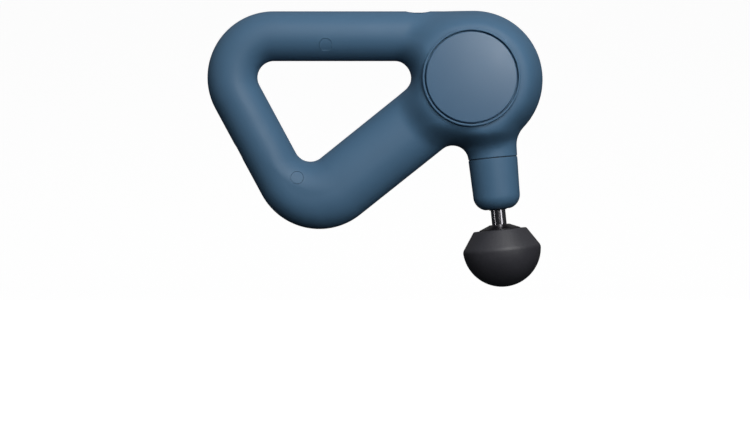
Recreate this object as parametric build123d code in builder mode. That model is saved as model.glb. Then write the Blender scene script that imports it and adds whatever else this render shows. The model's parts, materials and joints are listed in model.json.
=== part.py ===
from build123d import *
from math import asin, cos, degrees, radians, sin, tan
import os

os.makedirs("parts", exist_ok=True)

# Percussive massage gun with a triangular loop handle, in millimetres.
# Origin: centre of the round side covers, in the casing's middle plane.
# +X points to the head end, +Z up, and the massage head hangs below the head end.
# The casing is parted in the plane Y = 0: right half at -Y, left half at +Y.

# ---- casing outline, in the X-Z plane ----
rear_corner = (-196.3, 44.0)
lower_corner = (-109.2, -117.3)
armpit_corner = (-3.3, -33.1)
head_centre = (2.5, 0.0)
head_radius = 44.0
rear_corner_radius = 42.3
lower_corner_radius = 41.8
armpit_radius = 10.0
chin_point = (29.2, -34.7)
chin_radius = 16.6
finger_hole_corners = [(-142.8, 12.2), (-18.0, 12.2), (-105.1, -57.7)]
finger_hole_radius = 10.5

# ---- casing depth, measured from the parting plane ----
head_depth = 28.0
arm_depth = 16.0
flat_radius = 30.5
slope_radius = 54.0
far_radius = 260.0
lowest_side_edge = 5.0
edge_radius = 15.0
wall = 2.4
parting_gap = 0.04

# ---- drive axis: runs down the nose, tilted from straight down towards +X ----
motor_x = 9.9
nose_tilt = 5.7
across = (cos(radians(nose_tilt)), 0, sin(radians(nose_tilt)))
along = (sin(radians(nose_tilt)), 0, -cos(radians(nose_tilt)))
drive_axis = Axis((motor_x, 0, 0), along)
motor_axis = Axis((motor_x, 0, 0), (0, 1, 0))

# ---- nose collar, with distances along the drive axis ----
nose_half_width = 15.2
nose_cut = 62.0
nose_seam = 50.5
seam_gasket = 0.4
collar_radius = 15.7
collar_taper = 1.8
collar_arc_start = 74.2
collar_arc = 9.0
nose_end = 83.0
collar_inner_radius = 12.9
spigot_outer = 12.5
spigot_inner = 11.5
spigot_start = 46.0
seal_seat = 7.0
seal_shelf = 80.3
shelf_slope = 4.5
tube_clearance = 0.3
spigot_root = 2.0
gasket_outer = 15.2
seal_low = 80.5
seal_high = 82.7
seal_lip_end = 83.5
seal_lip_radius = 5.8

# ---- fits ----
running_gap = 0.05
seat_gap = 0.02
face_gap = 0.05

# ---- side covers ----
cover_radius = 28.55
cover_face = 31.0
cover_flat_radius = 18.0
cover_drop = 0.5
cover_back = 27.8
recess_floor = 27.4
recess_radius = 29.45
ring_outer = 30.7
ring_face = 29.9
ring_crest = 0.55
cover_rim = 0.7
adhesive_outer = 21.0

# ---- drive ----
crank_radius = 5.0
wrist_station = 33.9
eye_radius = 5.0
eye_offset = 2.5
wrist_pin_radius = 2.0
rod_half_width = 3.0
shaft_radius = 4.7
shaft_tip = 113.0
shaft_tip_chamfer = 1.0
shaft_shoulder = 47.0
shaft_root = 46.0
clevis_inner = 3.8
clevis_outer = 6.8
clevis_floor = 43.0
clevis_half_width = 6.0
bushing_radius = 7.5
tube_radius = 10.5
tube_start = 52.6
tube_end = 79.5
bushing_length = 8.0
tongue_half_width = 3.6
tongue_start = 15.0
tongue_end = 61.6
crank_pin_radius = 2.5
pin_neck_radius = 2.2
pin_head_radius = 3.6
pin_head_thickness = 1.0
pin_head_gap = 0.2
big_end_bore = 7.0
big_end_half_width = 2.6
big_end_outer = 9.5
eye_outer = 7.5
rod_beam_width = 3.2
web_hub = 6.5
web_nose = 4.6
weight_radius = 18.0
weight_reach = 20.0
weight_spread = 1.2
groove_radius = 3.9
groove_station = 103.0
groove_width = 1.6

# ---- motor, with heights measured from the parting plane ----
frame_low = 8.6
frame_high = 10.6
frame_radius = 24.0
lug_circle = 27.5
lug_radius = 5.6
lug_hole = 3.5
lug_angles = [80, 200, 320]
hub_outer = 6.5
bearing_outer = 5.0
motor_shaft_radius = 2.0
motor_shaft_chamfer = 0.3
bearing_recess = 0.4
bell_low = 12.2
bell_high = 23.2
bell_chamfer = 1.0
bell_outer = 20.5
bell_inner = 19.15
magnet_inner = 17.9
stator_low = 12.8
stator_high = 20.3
stator_outer = 17.2
teeth = 12
poles = 14
web_low = 4.6
web_high = 8.0
hub_top = 20.8
bearing_width = 4.0
stator_core = 9.0
tooth_root = 7.75
tooth_end = 15.95
tooth_tip = 15.7
tooth_width = 2.4
slot_opening = 1.4
slot_length = 7.0
coil_centre = 12.3
coil_length = 5.8
coil_build = 0.8
coil_overrun = 0.5
bell_floor = 1.5
bell_hub = 5.5
bell_hub_low = 21.1
vent_circle = 12.0
vent_count = 6
vent_radius = 3.0
magnet_gap = 0.5
magnet_cut = 4.0
magnet_length = 8.1
window_circle = 18.0
window_count = 6
window_angle = 30.0
window_radius = 3.5
grommet_lip = 1.1
grommet_radius = 4.8

# ---- screws ----
screw_radius = 1.5
screw_head_radius = 2.8
boss_radius = 4.0
head_boss_radius = 4.6
screw_hole_extra = 1.0
screw_seat = 10.0
screw_reach = 8.0
plug_sites = [(-91.8, 21.2), (-109.8, -62.7)]
covered_sites = [(-19.0, 18.0), (-8.0, -24.5)]
plug_radius = 4.0
plug_floor = 12.6
screw_head_height = 2.0
screw_drive_radius = 1.2
frame_boss_start = 11.75
frame_screw_reach = 19.6

# ---- power button ----
button_x = -33.0
button_radius = 7.9
button_hole_radius = 8.15
button_dish_low = 43.0
button_dish_radius = 35.0
button_flange = 9.0
button_seat_radius = 9.4
button_stem_radius = 2.0
button_flange_low = 38.9
button_flange_high = 40.0
button_stem_foot = 36.6
switch_top = 35.8
switch_body_top = 34.9
switch_width = 6.0
switch_corner = 0.6
switch_knob_radius = 1.75

# ---- massage head ----
head_top = 96.1
head_top_radius = 16.9
equator = 107.8
ball_radius = 25.0
ball_shoulder_radius = 24.7
core_top = 92.8
core_top_radius = 6.0
cone_base = 95.7
cone_radius = 13.2
core_radius = 9.2
core_end = 116.0
core_face = 96.6
socket_end = 113.5
ball_shoulder = 107.0
head_rim = 1.2

# ---- battery, boards and charging port ----
battery_centre = (-59.6, 0, -49.7)
arm_direction = (0.782, 0, 0.624)
cell_radius = 9.2
cell_length = 65.0
cell_pitch = 18.8
port_point = (-147.8, 0, -45.9)
port_outward = (-0.88, 0, -0.475)
port_along = (0.475, 0, -0.88)
board_low = 31.4
board_high = 33.0
board_rear = -84.0
board_front = -22.0
board_half_width = 10.0
board_corner = 2.0
board_chips = [
    # x, y, length, width, height below the board
    (-76.0, 0.0, 5.0, 6.0, 1.6),
    (-69.0, 0.0, 5.0, 6.0, 1.6),
    (-62.0, 0.0, 5.0, 6.0, 1.6),
    (-48.0, 0.0, 9.0, 9.0, 1.4),
    (-36.0, 4.0, 4.0, 5.0, 3.5),
    (-36.0, -4.0, 4.0, 5.0, 3.5),
    (-80.0, -6.0, 4.0, 5.0, 5.0),
]
chip_chamfer = 0.2
ledge_places = [-76.0, -58.0]
ledge_reach = 5.5
ledge_width = 4.0
ledge_inset = 1.0
charging_width = 16.0
charging_length = 15.0
charging_corner = 1.0
charging_thickness = 1.2
solder_gap = 0.1
port_length = 9.0
port_height = 3.2
port_clearance = 0.3
port_depth = 3.4
port_flare = 0.9
port_flare_width = 3.0
port_recess = 1.4
socket_length = 7.3
socket_skin = 0.35
socket_back = 1.0
socket_tongue_width = 6.6
socket_tongue_height = 0.7
cell_rim = 0.6
tab_radius = 3.5
tab_window = 3.9
tab_thickness = 0.3
holder_end = 1.5
holder_width = 19.9
rib_reach = 7.2
rib_width = 2.4

# ---- wires: routes through the casing, and how each point moves for the next wire beside it ----
wire_radius = 0.7
battery_wire_depths = (-9.5, -7.5)
battery_wire_route = [(-30.5, -22.0), (-27.0, -10.0), (-28.0, 4.0), (-32.0, 19.0), (-38.0, 29.5)]
motor_wire_shifts = (-2.0, 0.0, 2.0)
motor_wire_route = [
    (-11.6, 11.4, 2.0), (-19.0, 12.0, 5.0), (-27.0, 10.5, 12.0), (-31.0, 8.0, 22.0), (-32.0, 7.5, 30.0),
]
motor_wire_spread = [(0, 0, 1), (0, 0, 1), (0.75, 0, 0.75), (1, 0, 0), (1, 0, 0)]
charging_wire_shifts = (-1.2, 1.2)
charging_wire_route = [
    (-137.0, 2.5, -36.0), (-148.0, 2.0, -8.0), (-146.0, 1.0, 12.0),
    (-132.0, 0.0, 25.0), (-112.0, 0.0, 29.0), (-85.0, 0.0, 30.5),
]
charging_wire_spread = [(-1, 0, 0), (-1, 0, 0), (-1, 0, 0), (0, 0, 1), (0, 0, 1), (0, 0, 1)]


def motor_plane(height):
    """Plane across the motor axis: x runs across the nose, y down the nose, z along +Y."""
    return Plane(origin=(motor_x, height, 0), x_dir=across, z_dir=(0, 1, 0))


def side_plane(height):
    """Plane parallel to the parting plane at the given Y, seen from -Y: x is X and y is Z."""
    return Plane.XZ.offset(-height)


def save(piece, node):
    """Name a finished piece and write it."""
    piece.part.label = node
    export_step(piece.part, f"parts/{node}.step")


def polar_point(centre, radius, angle):
    """Point in the X-Z plane at a distance and an angle from a centre."""
    return (centre[0] + radius * cos(radians(angle)), centre[1] + radius * sin(radians(angle)))


def spin_about_nose(points):
    """Solid turned about the drive axis from (radius, station) points."""
    with BuildPart() as turned:
        with BuildSketch(motor_plane(0)):
            with BuildLine():
                Polyline(*points, close=True)
            make_face()
        revolve(axis=drive_axis)
    return turned.part


def on_nose(point):
    """World position of a (radius, station) point in the parting plane."""
    radius, station = point
    return Vector(motor_x, 0, 0) + Vector(*across) * radius + Vector(*along) * station


def spin_about_motor(points):
    """Solid turned about the motor axis from (radius, height) points."""
    with BuildPart() as turned:
        with BuildSketch(Plane(origin=(motor_x, 0, 0), x_dir=(1, 0, 0), z_dir=(0, 0, 1))):
            with BuildLine():
                Polyline(*points, close=True)
            make_face()
        revolve(axis=motor_axis)
    return turned.part


# ---------------------------------------------------------------- casing form

def nearest_corner(sketch, point):
    """Corner of a sketch that lies nearest to a point of its own plane."""
    return sketch.vertices().sort_by_distance(Vector(point[0], point[1], 0))[0]


def nose_corner(side):
    """End of the nose outline, one half width to either side of the drive axis."""
    station = on_nose((side * nose_half_width, nose_cut))
    return (station.X, station.Z)


def casing_outline():
    """Triangular loop with a round head end, the nose and the finger hole."""
    head_top_point = (head_centre[0], head_radius)
    inside_head = (28.5, -15.0)
    with BuildSketch() as outline:
        Polygon(
            rear_corner, lower_corner, armpit_corner,
            nose_corner(-1), nose_corner(1), inside_head, head_top_point,
            align=None,
        )
        with BuildSketch() as head_end:
            with Locations(head_centre):
                Circle(head_radius)
            split(bisect_by=Plane.YZ.offset(head_centre[0]), keep=Keep.TOP)
        fillet(nearest_corner(outline, rear_corner), rear_corner_radius)
        fillet(nearest_corner(outline, lower_corner), lower_corner_radius)
        fillet(nearest_corner(outline, armpit_corner), armpit_radius)
        fillet(nearest_corner(outline, chin_point), chin_radius)
        with BuildSketch(mode=Mode.SUBTRACT) as finger_hole:
            Polygon(*finger_hole_corners, align=None)
            fillet(finger_hole.vertices(), finger_hole_radius)
    return outline.sketch


def depth_limit(inset):
    """Turned block whose top is flat over the head and falls in a smooth S to the arms."""
    top = head_depth - inset
    low = arm_depth - inset
    middle = ((flat_radius + slope_radius) / 2, (top + low) / 2)
    axis = Axis((head_centre[0], 0, 0), (0, 1, 0))
    with BuildPart() as limit:
        with BuildSketch(Plane(origin=(head_centre[0], 0, 0), x_dir=(1, 0, 0), z_dir=(0, 0, 1))):
            with BuildLine():
                Line((0, 0), (0, top))
                Line((0, top), (flat_radius, top))
                TangentArc((flat_radius, top), middle, tangent=(1, 0))
                TangentArc((slope_radius, low), middle, tangent=(-1, 0))
                Line((slope_radius, low), (far_radius, low))
                Line((far_radius, low), (far_radius, 0))
                Line((far_radius, 0), (0, 0))
            make_face()
        revolve(axis=axis)
    return limit.part


def half_form(inset):
    """Solid left half of the casing's form, shrunk all round by an inset."""
    outline = casing_outline()
    if inset:
        outline = offset(outline, amount=-inset, kind=Kind.INTERSECTION)
    limit = depth_limit(inset)
    with BuildPart() as form:
        with BuildSketch(Plane.XZ):
            add(outline)
        extrude(amount=-(head_depth + wall))
        add(limit, mode=Mode.INTERSECT)
        side_edges = form.edges().filter_by(lambda edge: edge.bounding_box().min.Y > lowest_side_edge)
        round_edges = side_edges.filter_by(lambda edge: not on_nose_end(edge, nose_cut - inset))
        fillet(round_edges, edge_radius - inset)
    return form.part


def on_nose_end(edge, station):
    """True for an edge of the flat end that the nose outline is cut off with."""
    offset_from_motor = (edge @ 0.5) - Vector(motor_x, 0, 0)
    return abs(offset_from_motor.dot(Vector(*along)) - station) < wall / 10


left_outer = half_form(0)
left_inner = half_form(wall)
right_outer = mirror(left_outer, about=Plane.XZ)
right_inner = mirror(left_inner, about=Plane.XZ)


# ---------------------------------------------------------------- casing halves

def post(site, radius, near, far):
    """Round bar along Y at a site (x, z), between two heights."""
    with BuildPart() as bar:
        with BuildSketch(side_plane(near)):
            with Locations(site):
                Circle(radius)
        extrude(amount=near - far)
    return bar.part


def posts(sites, radius, near, far):
    """The same bar at every site."""
    return [post(site, radius, near, far) for site in sites]


def cover_ring(side):
    """Raised ring that frames a side cover, with a rounded crest."""
    with BuildPart() as ring:
        with BuildSketch(side_plane(side * arm_depth)):
            Circle(ring_outer)
            Circle(recess_radius - wall, mode=Mode.SUBTRACT)
        extrude(amount=-side * (ring_face - arm_depth))
        crest = ring.faces().sort_by(Axis.Y)[-1 if side > 0 else 0].edges()
        fillet(crest, ring_crest)
    return ring.part


def nose_trim():
    """Everything below the nose seam."""
    with BuildPart() as trim:
        with BuildSketch(Plane(on_nose((0, nose_seam - seam_gasket)), x_dir=across, z_dir=along)):
            Circle(head_depth)
        extrude(amount=head_depth)
    return trim.part


def button_well():
    """Hole for the power button through the top of the casing."""
    with BuildPart() as well:
        with BuildSketch(Plane.XY.offset(head_radius - 2 * wall)):
            with Locations((button_x, 0)):
                Circle(button_hole_radius)
        extrude(amount=4 * wall)
    return well.part


def button_seat():
    """Flat seat inside the casing that the button's flange rises against."""
    with BuildPart() as seat:
        with BuildSketch(Plane.XY.offset(board_high)):
            with Locations((button_x, 0)):
                Circle(button_seat_radius)
        extrude(amount=button_flange_high + face_gap - board_high)
    return seat.part


def port_plane(depth):
    """Plane across the charging port at a depth below the handle's rear face."""
    origin = Vector(*port_point) - Vector(*port_outward) * depth
    return Plane(origin=origin, x_dir=port_along, z_dir=port_outward)


def port_opening():
    """Slot for the charging plug, flared at the outside."""
    with BuildPart() as opening:
        with BuildSketch(port_plane(port_depth)):
            SlotOverall(port_length + port_clearance, port_height + port_clearance)
        extrude(amount=port_depth + wall)
        with BuildSketch(port_plane(port_flare)):
            SlotOverall(port_length + port_flare_width, port_height + port_flare_width)
        extrude(amount=port_flare + wall)
    return opening.part


def board_ledges():
    """Small ledges on the left half that carry the control board."""
    with BuildPart() as ledges:
        with BuildSketch(Plane.XY.offset(board_low - face_gap)):
            with Locations(*[(x, arm_depth - ledge_reach / 2 - ledge_inset) for x in ledge_places]):
                Rectangle(ledge_width, ledge_reach)
        extrude(amount=-ledge_width)
    return ledges.part


frame_sites = [polar_point((motor_x, 0), lug_circle, angle) for angle in lug_angles]
nose_below_seam = nose_trim()
button_hole = button_well()
flange_seat = button_seat()
port_hole = port_opening()
ledge_blocks = board_ledges()
right_ledge_blocks = mirror(ledge_blocks, about=Plane.XZ)

with BuildPart() as left_casing_shell:
    add(left_outer)
    add(cover_ring(1))
    add(left_inner, mode=Mode.SUBTRACT)
    for bar in posts(plug_sites + covered_sites, boss_radius, 0, head_depth):
        add(bar & left_outer)
    for bar in posts(frame_sites, boss_radius, frame_boss_start, head_depth - wall):
        add(bar)
    add(ledge_blocks)
    add(post((0, 0), recess_radius, recess_floor, cover_face), mode=Mode.SUBTRACT)
    for hole in posts(plug_sites + covered_sites, screw_radius + seat_gap, 0, screw_reach + screw_hole_extra):
        add(hole, mode=Mode.SUBTRACT)
    for hole in posts(frame_sites, screw_radius + seat_gap, frame_high, frame_screw_reach + screw_hole_extra):
        add(hole, mode=Mode.SUBTRACT)
    add(nose_below_seam, mode=Mode.SUBTRACT)
    add(button_hole, mode=Mode.SUBTRACT)
    add(flange_seat, mode=Mode.SUBTRACT)
    add(port_hole, mode=Mode.SUBTRACT)
    split(bisect_by=Plane.XZ.offset(-parting_gap), keep=Keep.BOTTOM)
save(left_casing_shell, "left_casing_shell")

with BuildPart() as right_casing_shell:
    add(right_outer)
    add(cover_ring(-1))
    add(right_inner, mode=Mode.SUBTRACT)
    for bar in posts(plug_sites + covered_sites, head_boss_radius, 0, -head_depth):
        add(bar & right_outer)
    add(right_ledge_blocks)
    add(post((0, 0), recess_radius, -recess_floor, -cover_face), mode=Mode.SUBTRACT)
    for hole in posts(plug_sites + covered_sites, screw_radius + seat_gap, 0, -screw_seat):
        add(hole, mode=Mode.SUBTRACT)
    for hole in posts(plug_sites + covered_sites, screw_head_radius + face_gap, -screw_seat, -cover_face):
        add(hole, mode=Mode.SUBTRACT)
    for hole in posts(plug_sites, plug_radius, -plug_floor, -cover_face):
        add(hole, mode=Mode.SUBTRACT)
    add(nose_below_seam, mode=Mode.SUBTRACT)
    add(button_hole, mode=Mode.SUBTRACT)
    add(flange_seat, mode=Mode.SUBTRACT)
    add(port_hole, mode=Mode.SUBTRACT)
    split(bisect_by=Plane.XZ.offset(parting_gap), keep=Keep.TOP)
save(right_casing_shell, "right_casing_shell")


# ---------------------------------------------------------------- casing trim and fasteners

def screw(site, seat, reach):
    """Pan-head screw along Y: the head sits outside the seat and the shank runs in to the reach."""
    direction = 1 if reach > seat else -1
    with BuildPart() as body:
        with BuildSketch(side_plane(seat)):
            with Locations(site):
                Circle(screw_radius)
        extrude(amount=-(reach - seat))
        with BuildSketch(side_plane(seat)):
            with Locations(site):
                Circle(screw_head_radius)
        extrude(amount=direction * screw_head_height)
        crown_edges = body.faces().sort_by(Axis.Y)[0 if direction > 0 else -1].edges()
        fillet(crown_edges, screw_head_height / 3)
        with BuildSketch(side_plane(seat - direction * screw_head_height)):
            with Locations(site):
                RegularPolygon(screw_drive_radius, 6)
        extrude(amount=-direction * screw_head_height / 2, mode=Mode.SUBTRACT)
    return body.part


with BuildPart() as casing_screws:
    for site in plug_sites + covered_sites:
        add(screw(site, -screw_seat, screw_reach))
save(casing_screws, "casing_screws")

with BuildPart() as screw_plugs:
    for plug in posts(plug_sites, plug_radius - face_gap, -plug_floor - face_gap, -head_depth):
        add(plug & right_outer)
save(screw_plugs, "screw_plugs")


def side_cover():
    """Round cover whose flat middle falls away gently to a rounded rim, lying in -Y."""
    with BuildPart() as cover:
        with BuildSketch(Plane.XY) as profile:
            with BuildLine():
                Line((0, -cover_back), (0, -cover_face))
                Line((0, -cover_face), (cover_flat_radius, -cover_face))
                TangentArc(
                    (cover_flat_radius, -cover_face), (cover_radius, -cover_face + cover_drop),
                    tangent=(1, 0),
                )
                Line((cover_radius, -cover_face + cover_drop), (cover_radius, -cover_back))
                Line((cover_radius, -cover_back), (0, -cover_back))
            make_face()
            fillet(nearest_corner(profile, (cover_radius, -cover_face + cover_drop)), cover_rim)
        revolve(axis=Axis.Y)
    return cover.part


right_cover_form = side_cover()

with BuildPart() as right_side_cover:
    add(right_cover_form)
save(right_side_cover, "right_side_cover")

with BuildPart() as left_side_cover:
    add(mirror(right_cover_form, about=Plane.XZ))
save(left_side_cover, "left_side_cover")

with BuildPart() as cover_adhesive_rings:
    for side in (-1, 1):
        with BuildSketch(side_plane(side * (recess_floor + seat_gap))):
            Circle(adhesive_outer)
            Circle(adhesive_outer / 2, mode=Mode.SUBTRACT)
        extrude(amount=-side * (cover_back - recess_floor - 2 * seat_gap))
save(cover_adhesive_rings, "cover_adhesive_rings")


# ---------------------------------------------------------------- nose

def collar_half_width(station):
    """Radius of the collar's tapered side at a distance along the drive axis."""
    return collar_radius - (station - nose_seam) * tan(radians(collar_taper))


arc_start = (collar_half_width(collar_arc_start), collar_arc_start)
arc_centre = (arc_start[0] - collar_arc, collar_arc_start)
arc_angle = degrees(asin((nose_end - collar_arc_start) / collar_arc))
arc_end = polar_point(arc_centre, collar_arc, arc_angle)

with BuildPart() as nose_collar:
    with BuildSketch(motor_plane(0)):
        with BuildLine():
            Polyline(
                (seal_seat, nose_end), (seal_seat, seal_shelf),
                (tube_radius + tube_clearance, seal_shelf),
                (collar_inner_radius, seal_shelf - shelf_slope),
                (collar_inner_radius, nose_seam + spigot_root),
                (spigot_inner, nose_seam), (spigot_inner, spigot_start),
                (spigot_outer, spigot_start), (spigot_outer, nose_seam),
                (collar_radius, nose_seam), arc_start,
            )
            ThreePointArc(arc_start, polar_point(arc_centre, collar_arc, arc_angle / 2), arc_end)
            Line(arc_end, (seal_seat, nose_end))
        make_face()
    revolve(axis=drive_axis)
save(nose_collar, "nose_collar")

with BuildPart() as collar_gasket:
    add(spin_about_nose([
        (spigot_outer + face_gap, nose_seam - seam_gasket + seat_gap),
        (gasket_outer, nose_seam - seam_gasket + seat_gap),
        (gasket_outer, nose_seam - seat_gap),
        (spigot_outer + face_gap, nose_seam - seat_gap),
    ]))
save(collar_gasket, "collar_gasket")

with BuildPart() as shaft_wiper_seal:
    add(spin_about_nose([
        (shaft_radius + running_gap, seal_low), (seal_seat - seat_gap, seal_low),
        (seal_seat - seat_gap, seal_high), (seal_lip_radius, seal_lip_end),
        (shaft_radius + running_gap, seal_lip_end),
    ]))
save(shaft_wiper_seal, "shaft_wiper_seal")


# ---------------------------------------------------------------- drive frame and its mounts

guide_tube = spin_about_nose([
    (bushing_radius, tube_start), (tube_radius, tube_start),
    (tube_radius, tube_end), (bushing_radius, tube_end),
])
bearing_hub = spin_about_motor([
    (0, frame_low), (hub_outer, frame_low), (hub_outer, hub_top), (0, hub_top),
])

with BuildPart() as drive_frame:
    with BuildSketch(motor_plane(frame_low)):
        Circle(frame_radius)
        with Locations((0, (tongue_start + tongue_end) / 2)):
            Rectangle(2 * tongue_half_width, tongue_end - tongue_start)
        with PolarLocations(window_circle, window_count, start_angle=window_angle):
            Circle(window_radius, mode=Mode.SUBTRACT)
    extrude(amount=frame_high - frame_low)
    for lug in posts(frame_sites, lug_radius, frame_low, frame_high):
        add(lug)
    for hole in posts(frame_sites, lug_hole, frame_low, frame_high):
        add(hole, mode=Mode.SUBTRACT)
    add(bearing_hub)
    add(guide_tube)
    with BuildSketch(motor_plane(0)):
        Circle(bearing_outer + seat_gap)
    extrude(amount=head_depth, mode=Mode.SUBTRACT)
    with BuildSketch(Plane(on_nose((0, tube_start)), x_dir=across, z_dir=along)):
        Circle(bushing_radius)
    extrude(amount=tube_end, mode=Mode.SUBTRACT)
save(drive_frame, "drive_frame")

with BuildPart() as frame_grommets:
    with BuildSketch(side_plane(frame_low - grommet_lip)):
        with Locations(*frame_sites):
            Circle(grommet_radius)
    extrude(amount=-(grommet_lip - face_gap))
    with BuildSketch(side_plane(frame_low - face_gap)):
        with Locations(*frame_sites):
            Circle(lug_hole - face_gap)
    extrude(amount=-(frame_high - frame_low + 2 * face_gap))
    with BuildSketch(side_plane(frame_high + face_gap)):
        with Locations(*frame_sites):
            Circle(grommet_radius)
    extrude(amount=-(grommet_lip - face_gap))
    with BuildSketch(side_plane(0)):
        with Locations(*frame_sites):
            Circle(screw_radius + face_gap)
    extrude(amount=-head_depth, mode=Mode.SUBTRACT)
save(frame_grommets, "frame_grommets")

with BuildPart() as frame_screws:
    for site in frame_sites:
        add(screw(site, frame_low - grommet_lip - face_gap, frame_screw_reach))
save(frame_screws, "frame_screws")


# ---------------------------------------------------------------- motor

with BuildPart() as motor_bearings:
    for low in (frame_low + bearing_recess, hub_top - bearing_width):
        add(spin_about_motor([
            (motor_shaft_radius + seat_gap, low), (bearing_outer, low),
            (bearing_outer, low + bearing_width), (motor_shaft_radius + seat_gap, low + bearing_width),
        ]))
save(motor_bearings, "motor_bearings")

with BuildPart() as motor_stator:
    with BuildSketch(motor_plane(stator_low)):
        Circle(stator_core)
        with PolarLocations((tooth_root + tooth_end) / 2, teeth):
            Rectangle(tooth_end - tooth_root, tooth_width)
        with BuildSketch(mode=Mode.PRIVATE) as slots:
            with PolarLocations(stator_outer, teeth, start_angle=180 / teeth):
                Rectangle(slot_length, slot_opening)
        with BuildSketch(mode=Mode.PRIVATE) as shoes:
            Circle(stator_outer)
            Circle(tooth_tip, mode=Mode.SUBTRACT)
            add(slots.sketch, mode=Mode.SUBTRACT)
        add(shoes.sketch)
        Circle(hub_outer + seat_gap, mode=Mode.SUBTRACT)
    extrude(amount=stator_high - stator_low)
save(motor_stator, "motor_stator")

with BuildPart() as stator_windings:
    with BuildSketch(motor_plane(stator_low - coil_build)):
        with PolarLocations(coil_centre, teeth):
            Rectangle(coil_length, tooth_width + 2 * coil_build + 2 * face_gap)
    extrude(amount=stator_high - stator_low + 2 * coil_build)
    coil_edges = stator_windings.edges().filter_by(lambda edge: abs(edge.length - coil_length) < face_gap)
    fillet(coil_edges, coil_build / 2)
    with BuildSketch(motor_plane(stator_low - face_gap)):
        with PolarLocations(coil_centre, teeth):
            Rectangle(coil_length + 2 * coil_overrun, tooth_width + 2 * face_gap)
    extrude(amount=stator_high - stator_low + 2 * face_gap, mode=Mode.SUBTRACT)
save(stator_windings, "stator_windings")

with BuildPart() as rotor_bell:
    add(spin_about_motor([
        (motor_shaft_radius + seat_gap, bell_hub_low), (bell_hub, bell_hub_low),
        (bell_hub, bell_high - bell_floor), (bell_inner, bell_high - bell_floor), (bell_inner, bell_low),
        (bell_outer, bell_low), (bell_outer, bell_high - bell_chamfer),
        (bell_outer - bell_chamfer, bell_high),
        (motor_shaft_radius + seat_gap, bell_high),
    ]))
    with BuildSketch(motor_plane(bell_high - bell_floor)):
        with PolarLocations(vent_circle, vent_count):
            Circle(vent_radius)
    extrude(amount=bell_floor, mode=Mode.SUBTRACT)
save(rotor_bell, "rotor_bell")

with BuildPart() as rotor_magnets:
    with BuildSketch(motor_plane(stator_low)):
        Circle(bell_inner - seat_gap)
        Circle(magnet_inner, mode=Mode.SUBTRACT)
        with PolarLocations(bell_inner, poles):
            Rectangle(magnet_cut, magnet_gap, mode=Mode.SUBTRACT)
    extrude(amount=magnet_length)
save(rotor_magnets, "rotor_magnets")

with BuildPart() as motor_shaft:
    with BuildSketch(motor_plane(web_low)):
        Circle(motor_shaft_radius)
    extrude(amount=bell_high - web_low)
    chamfer(motor_shaft.faces().sort_by(Axis.Y)[0].edges(), motor_shaft_chamfer)
    chamfer(motor_shaft.faces().sort_by(Axis.Y)[-1].edges(), motor_shaft_chamfer)
save(motor_shaft, "motor_shaft")


# ---------------------------------------------------------------- crank, rod and shaft

with BuildPart() as crank_counterweight:
    with BuildSketch(motor_plane(web_low)) as web:
        Circle(web_hub)
        with Locations((crank_radius, 0)):
            Circle(web_nose)
        with BuildSketch(mode=Mode.PRIVATE) as weight_wedge:
            Polygon(
                (0, 0),
                (-weight_reach, weight_reach * weight_spread),
                (-weight_reach, -weight_reach * weight_spread),
                align=None,
            )
        with BuildSketch(mode=Mode.PRIVATE) as weight:
            Circle(weight_radius)
            add(weight_wedge.sketch, mode=Mode.INTERSECT)
        add(weight.sketch)
    extrude(amount=web_high - web_low)
    with BuildSketch(motor_plane(web_low)):
        Circle(motor_shaft_radius + seat_gap)
        with Locations((crank_radius, 0)):
            Circle(pin_neck_radius + seat_gap)
    extrude(amount=web_high - web_low, mode=Mode.SUBTRACT)
save(crank_counterweight, "crank_counterweight")

with BuildPart() as crank_pin:
    with BuildSketch(motor_plane(-rod_half_width - pin_head_gap - pin_head_thickness)):
        with Locations((crank_radius, 0)):
            Circle(pin_head_radius)
    extrude(amount=pin_head_thickness)
    with BuildSketch(motor_plane(-rod_half_width - pin_head_gap)):
        with Locations((crank_radius, 0)):
            Circle(crank_pin_radius)
    extrude(amount=rod_half_width + pin_head_gap + web_low - face_gap)
    with BuildSketch(motor_plane(web_low - face_gap)):
        with Locations((crank_radius, 0)):
            Circle(pin_neck_radius)
    extrude(amount=web_high - web_low + face_gap)
save(crank_pin, "crank_pin")

with BuildPart() as big_end_bearing:
    with BuildSketch(motor_plane(-big_end_half_width)):
        with Locations((crank_radius, 0)):
            Circle(big_end_bore - seat_gap)
            Circle(crank_pin_radius + running_gap, mode=Mode.SUBTRACT)
    extrude(amount=2 * big_end_half_width)
save(big_end_bearing, "big_end_bearing")

with BuildPart() as connecting_rod:
    with BuildSketch(motor_plane(-rod_half_width)) as rod_plan:
        with Locations((crank_radius, 0)):
            Circle(big_end_outer)
        with Locations((eye_offset, wrist_station)):
            Circle(eye_outer)
        with BuildSketch(mode=Mode.PRIVATE) as rod_beam:
            Polygon(
                (crank_radius - rod_beam_width, 0),
                (crank_radius + rod_beam_width, 0),
                (eye_offset + rod_beam_width, wrist_station),
                (eye_offset - rod_beam_width, wrist_station),
                align=None,
            )
        add(rod_beam.sketch)
        with Locations((crank_radius, 0)):
            Circle(big_end_bore, mode=Mode.SUBTRACT)
        with Locations((eye_offset, wrist_station)):
            Circle(eye_radius, mode=Mode.SUBTRACT)
    extrude(amount=2 * rod_half_width)
save(connecting_rod, "connecting_rod")

shaft_rod = spin_about_nose([
    (0, shaft_root), (shaft_radius, shaft_root), (shaft_radius, groove_station),
    (groove_radius, groove_station), (groove_radius, groove_station + groove_width),
    (shaft_radius, groove_station + groove_width), (shaft_radius, shaft_tip - shaft_tip_chamfer),
    (shaft_radius - shaft_tip_chamfer, shaft_tip), (0, shaft_tip),
])

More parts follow.
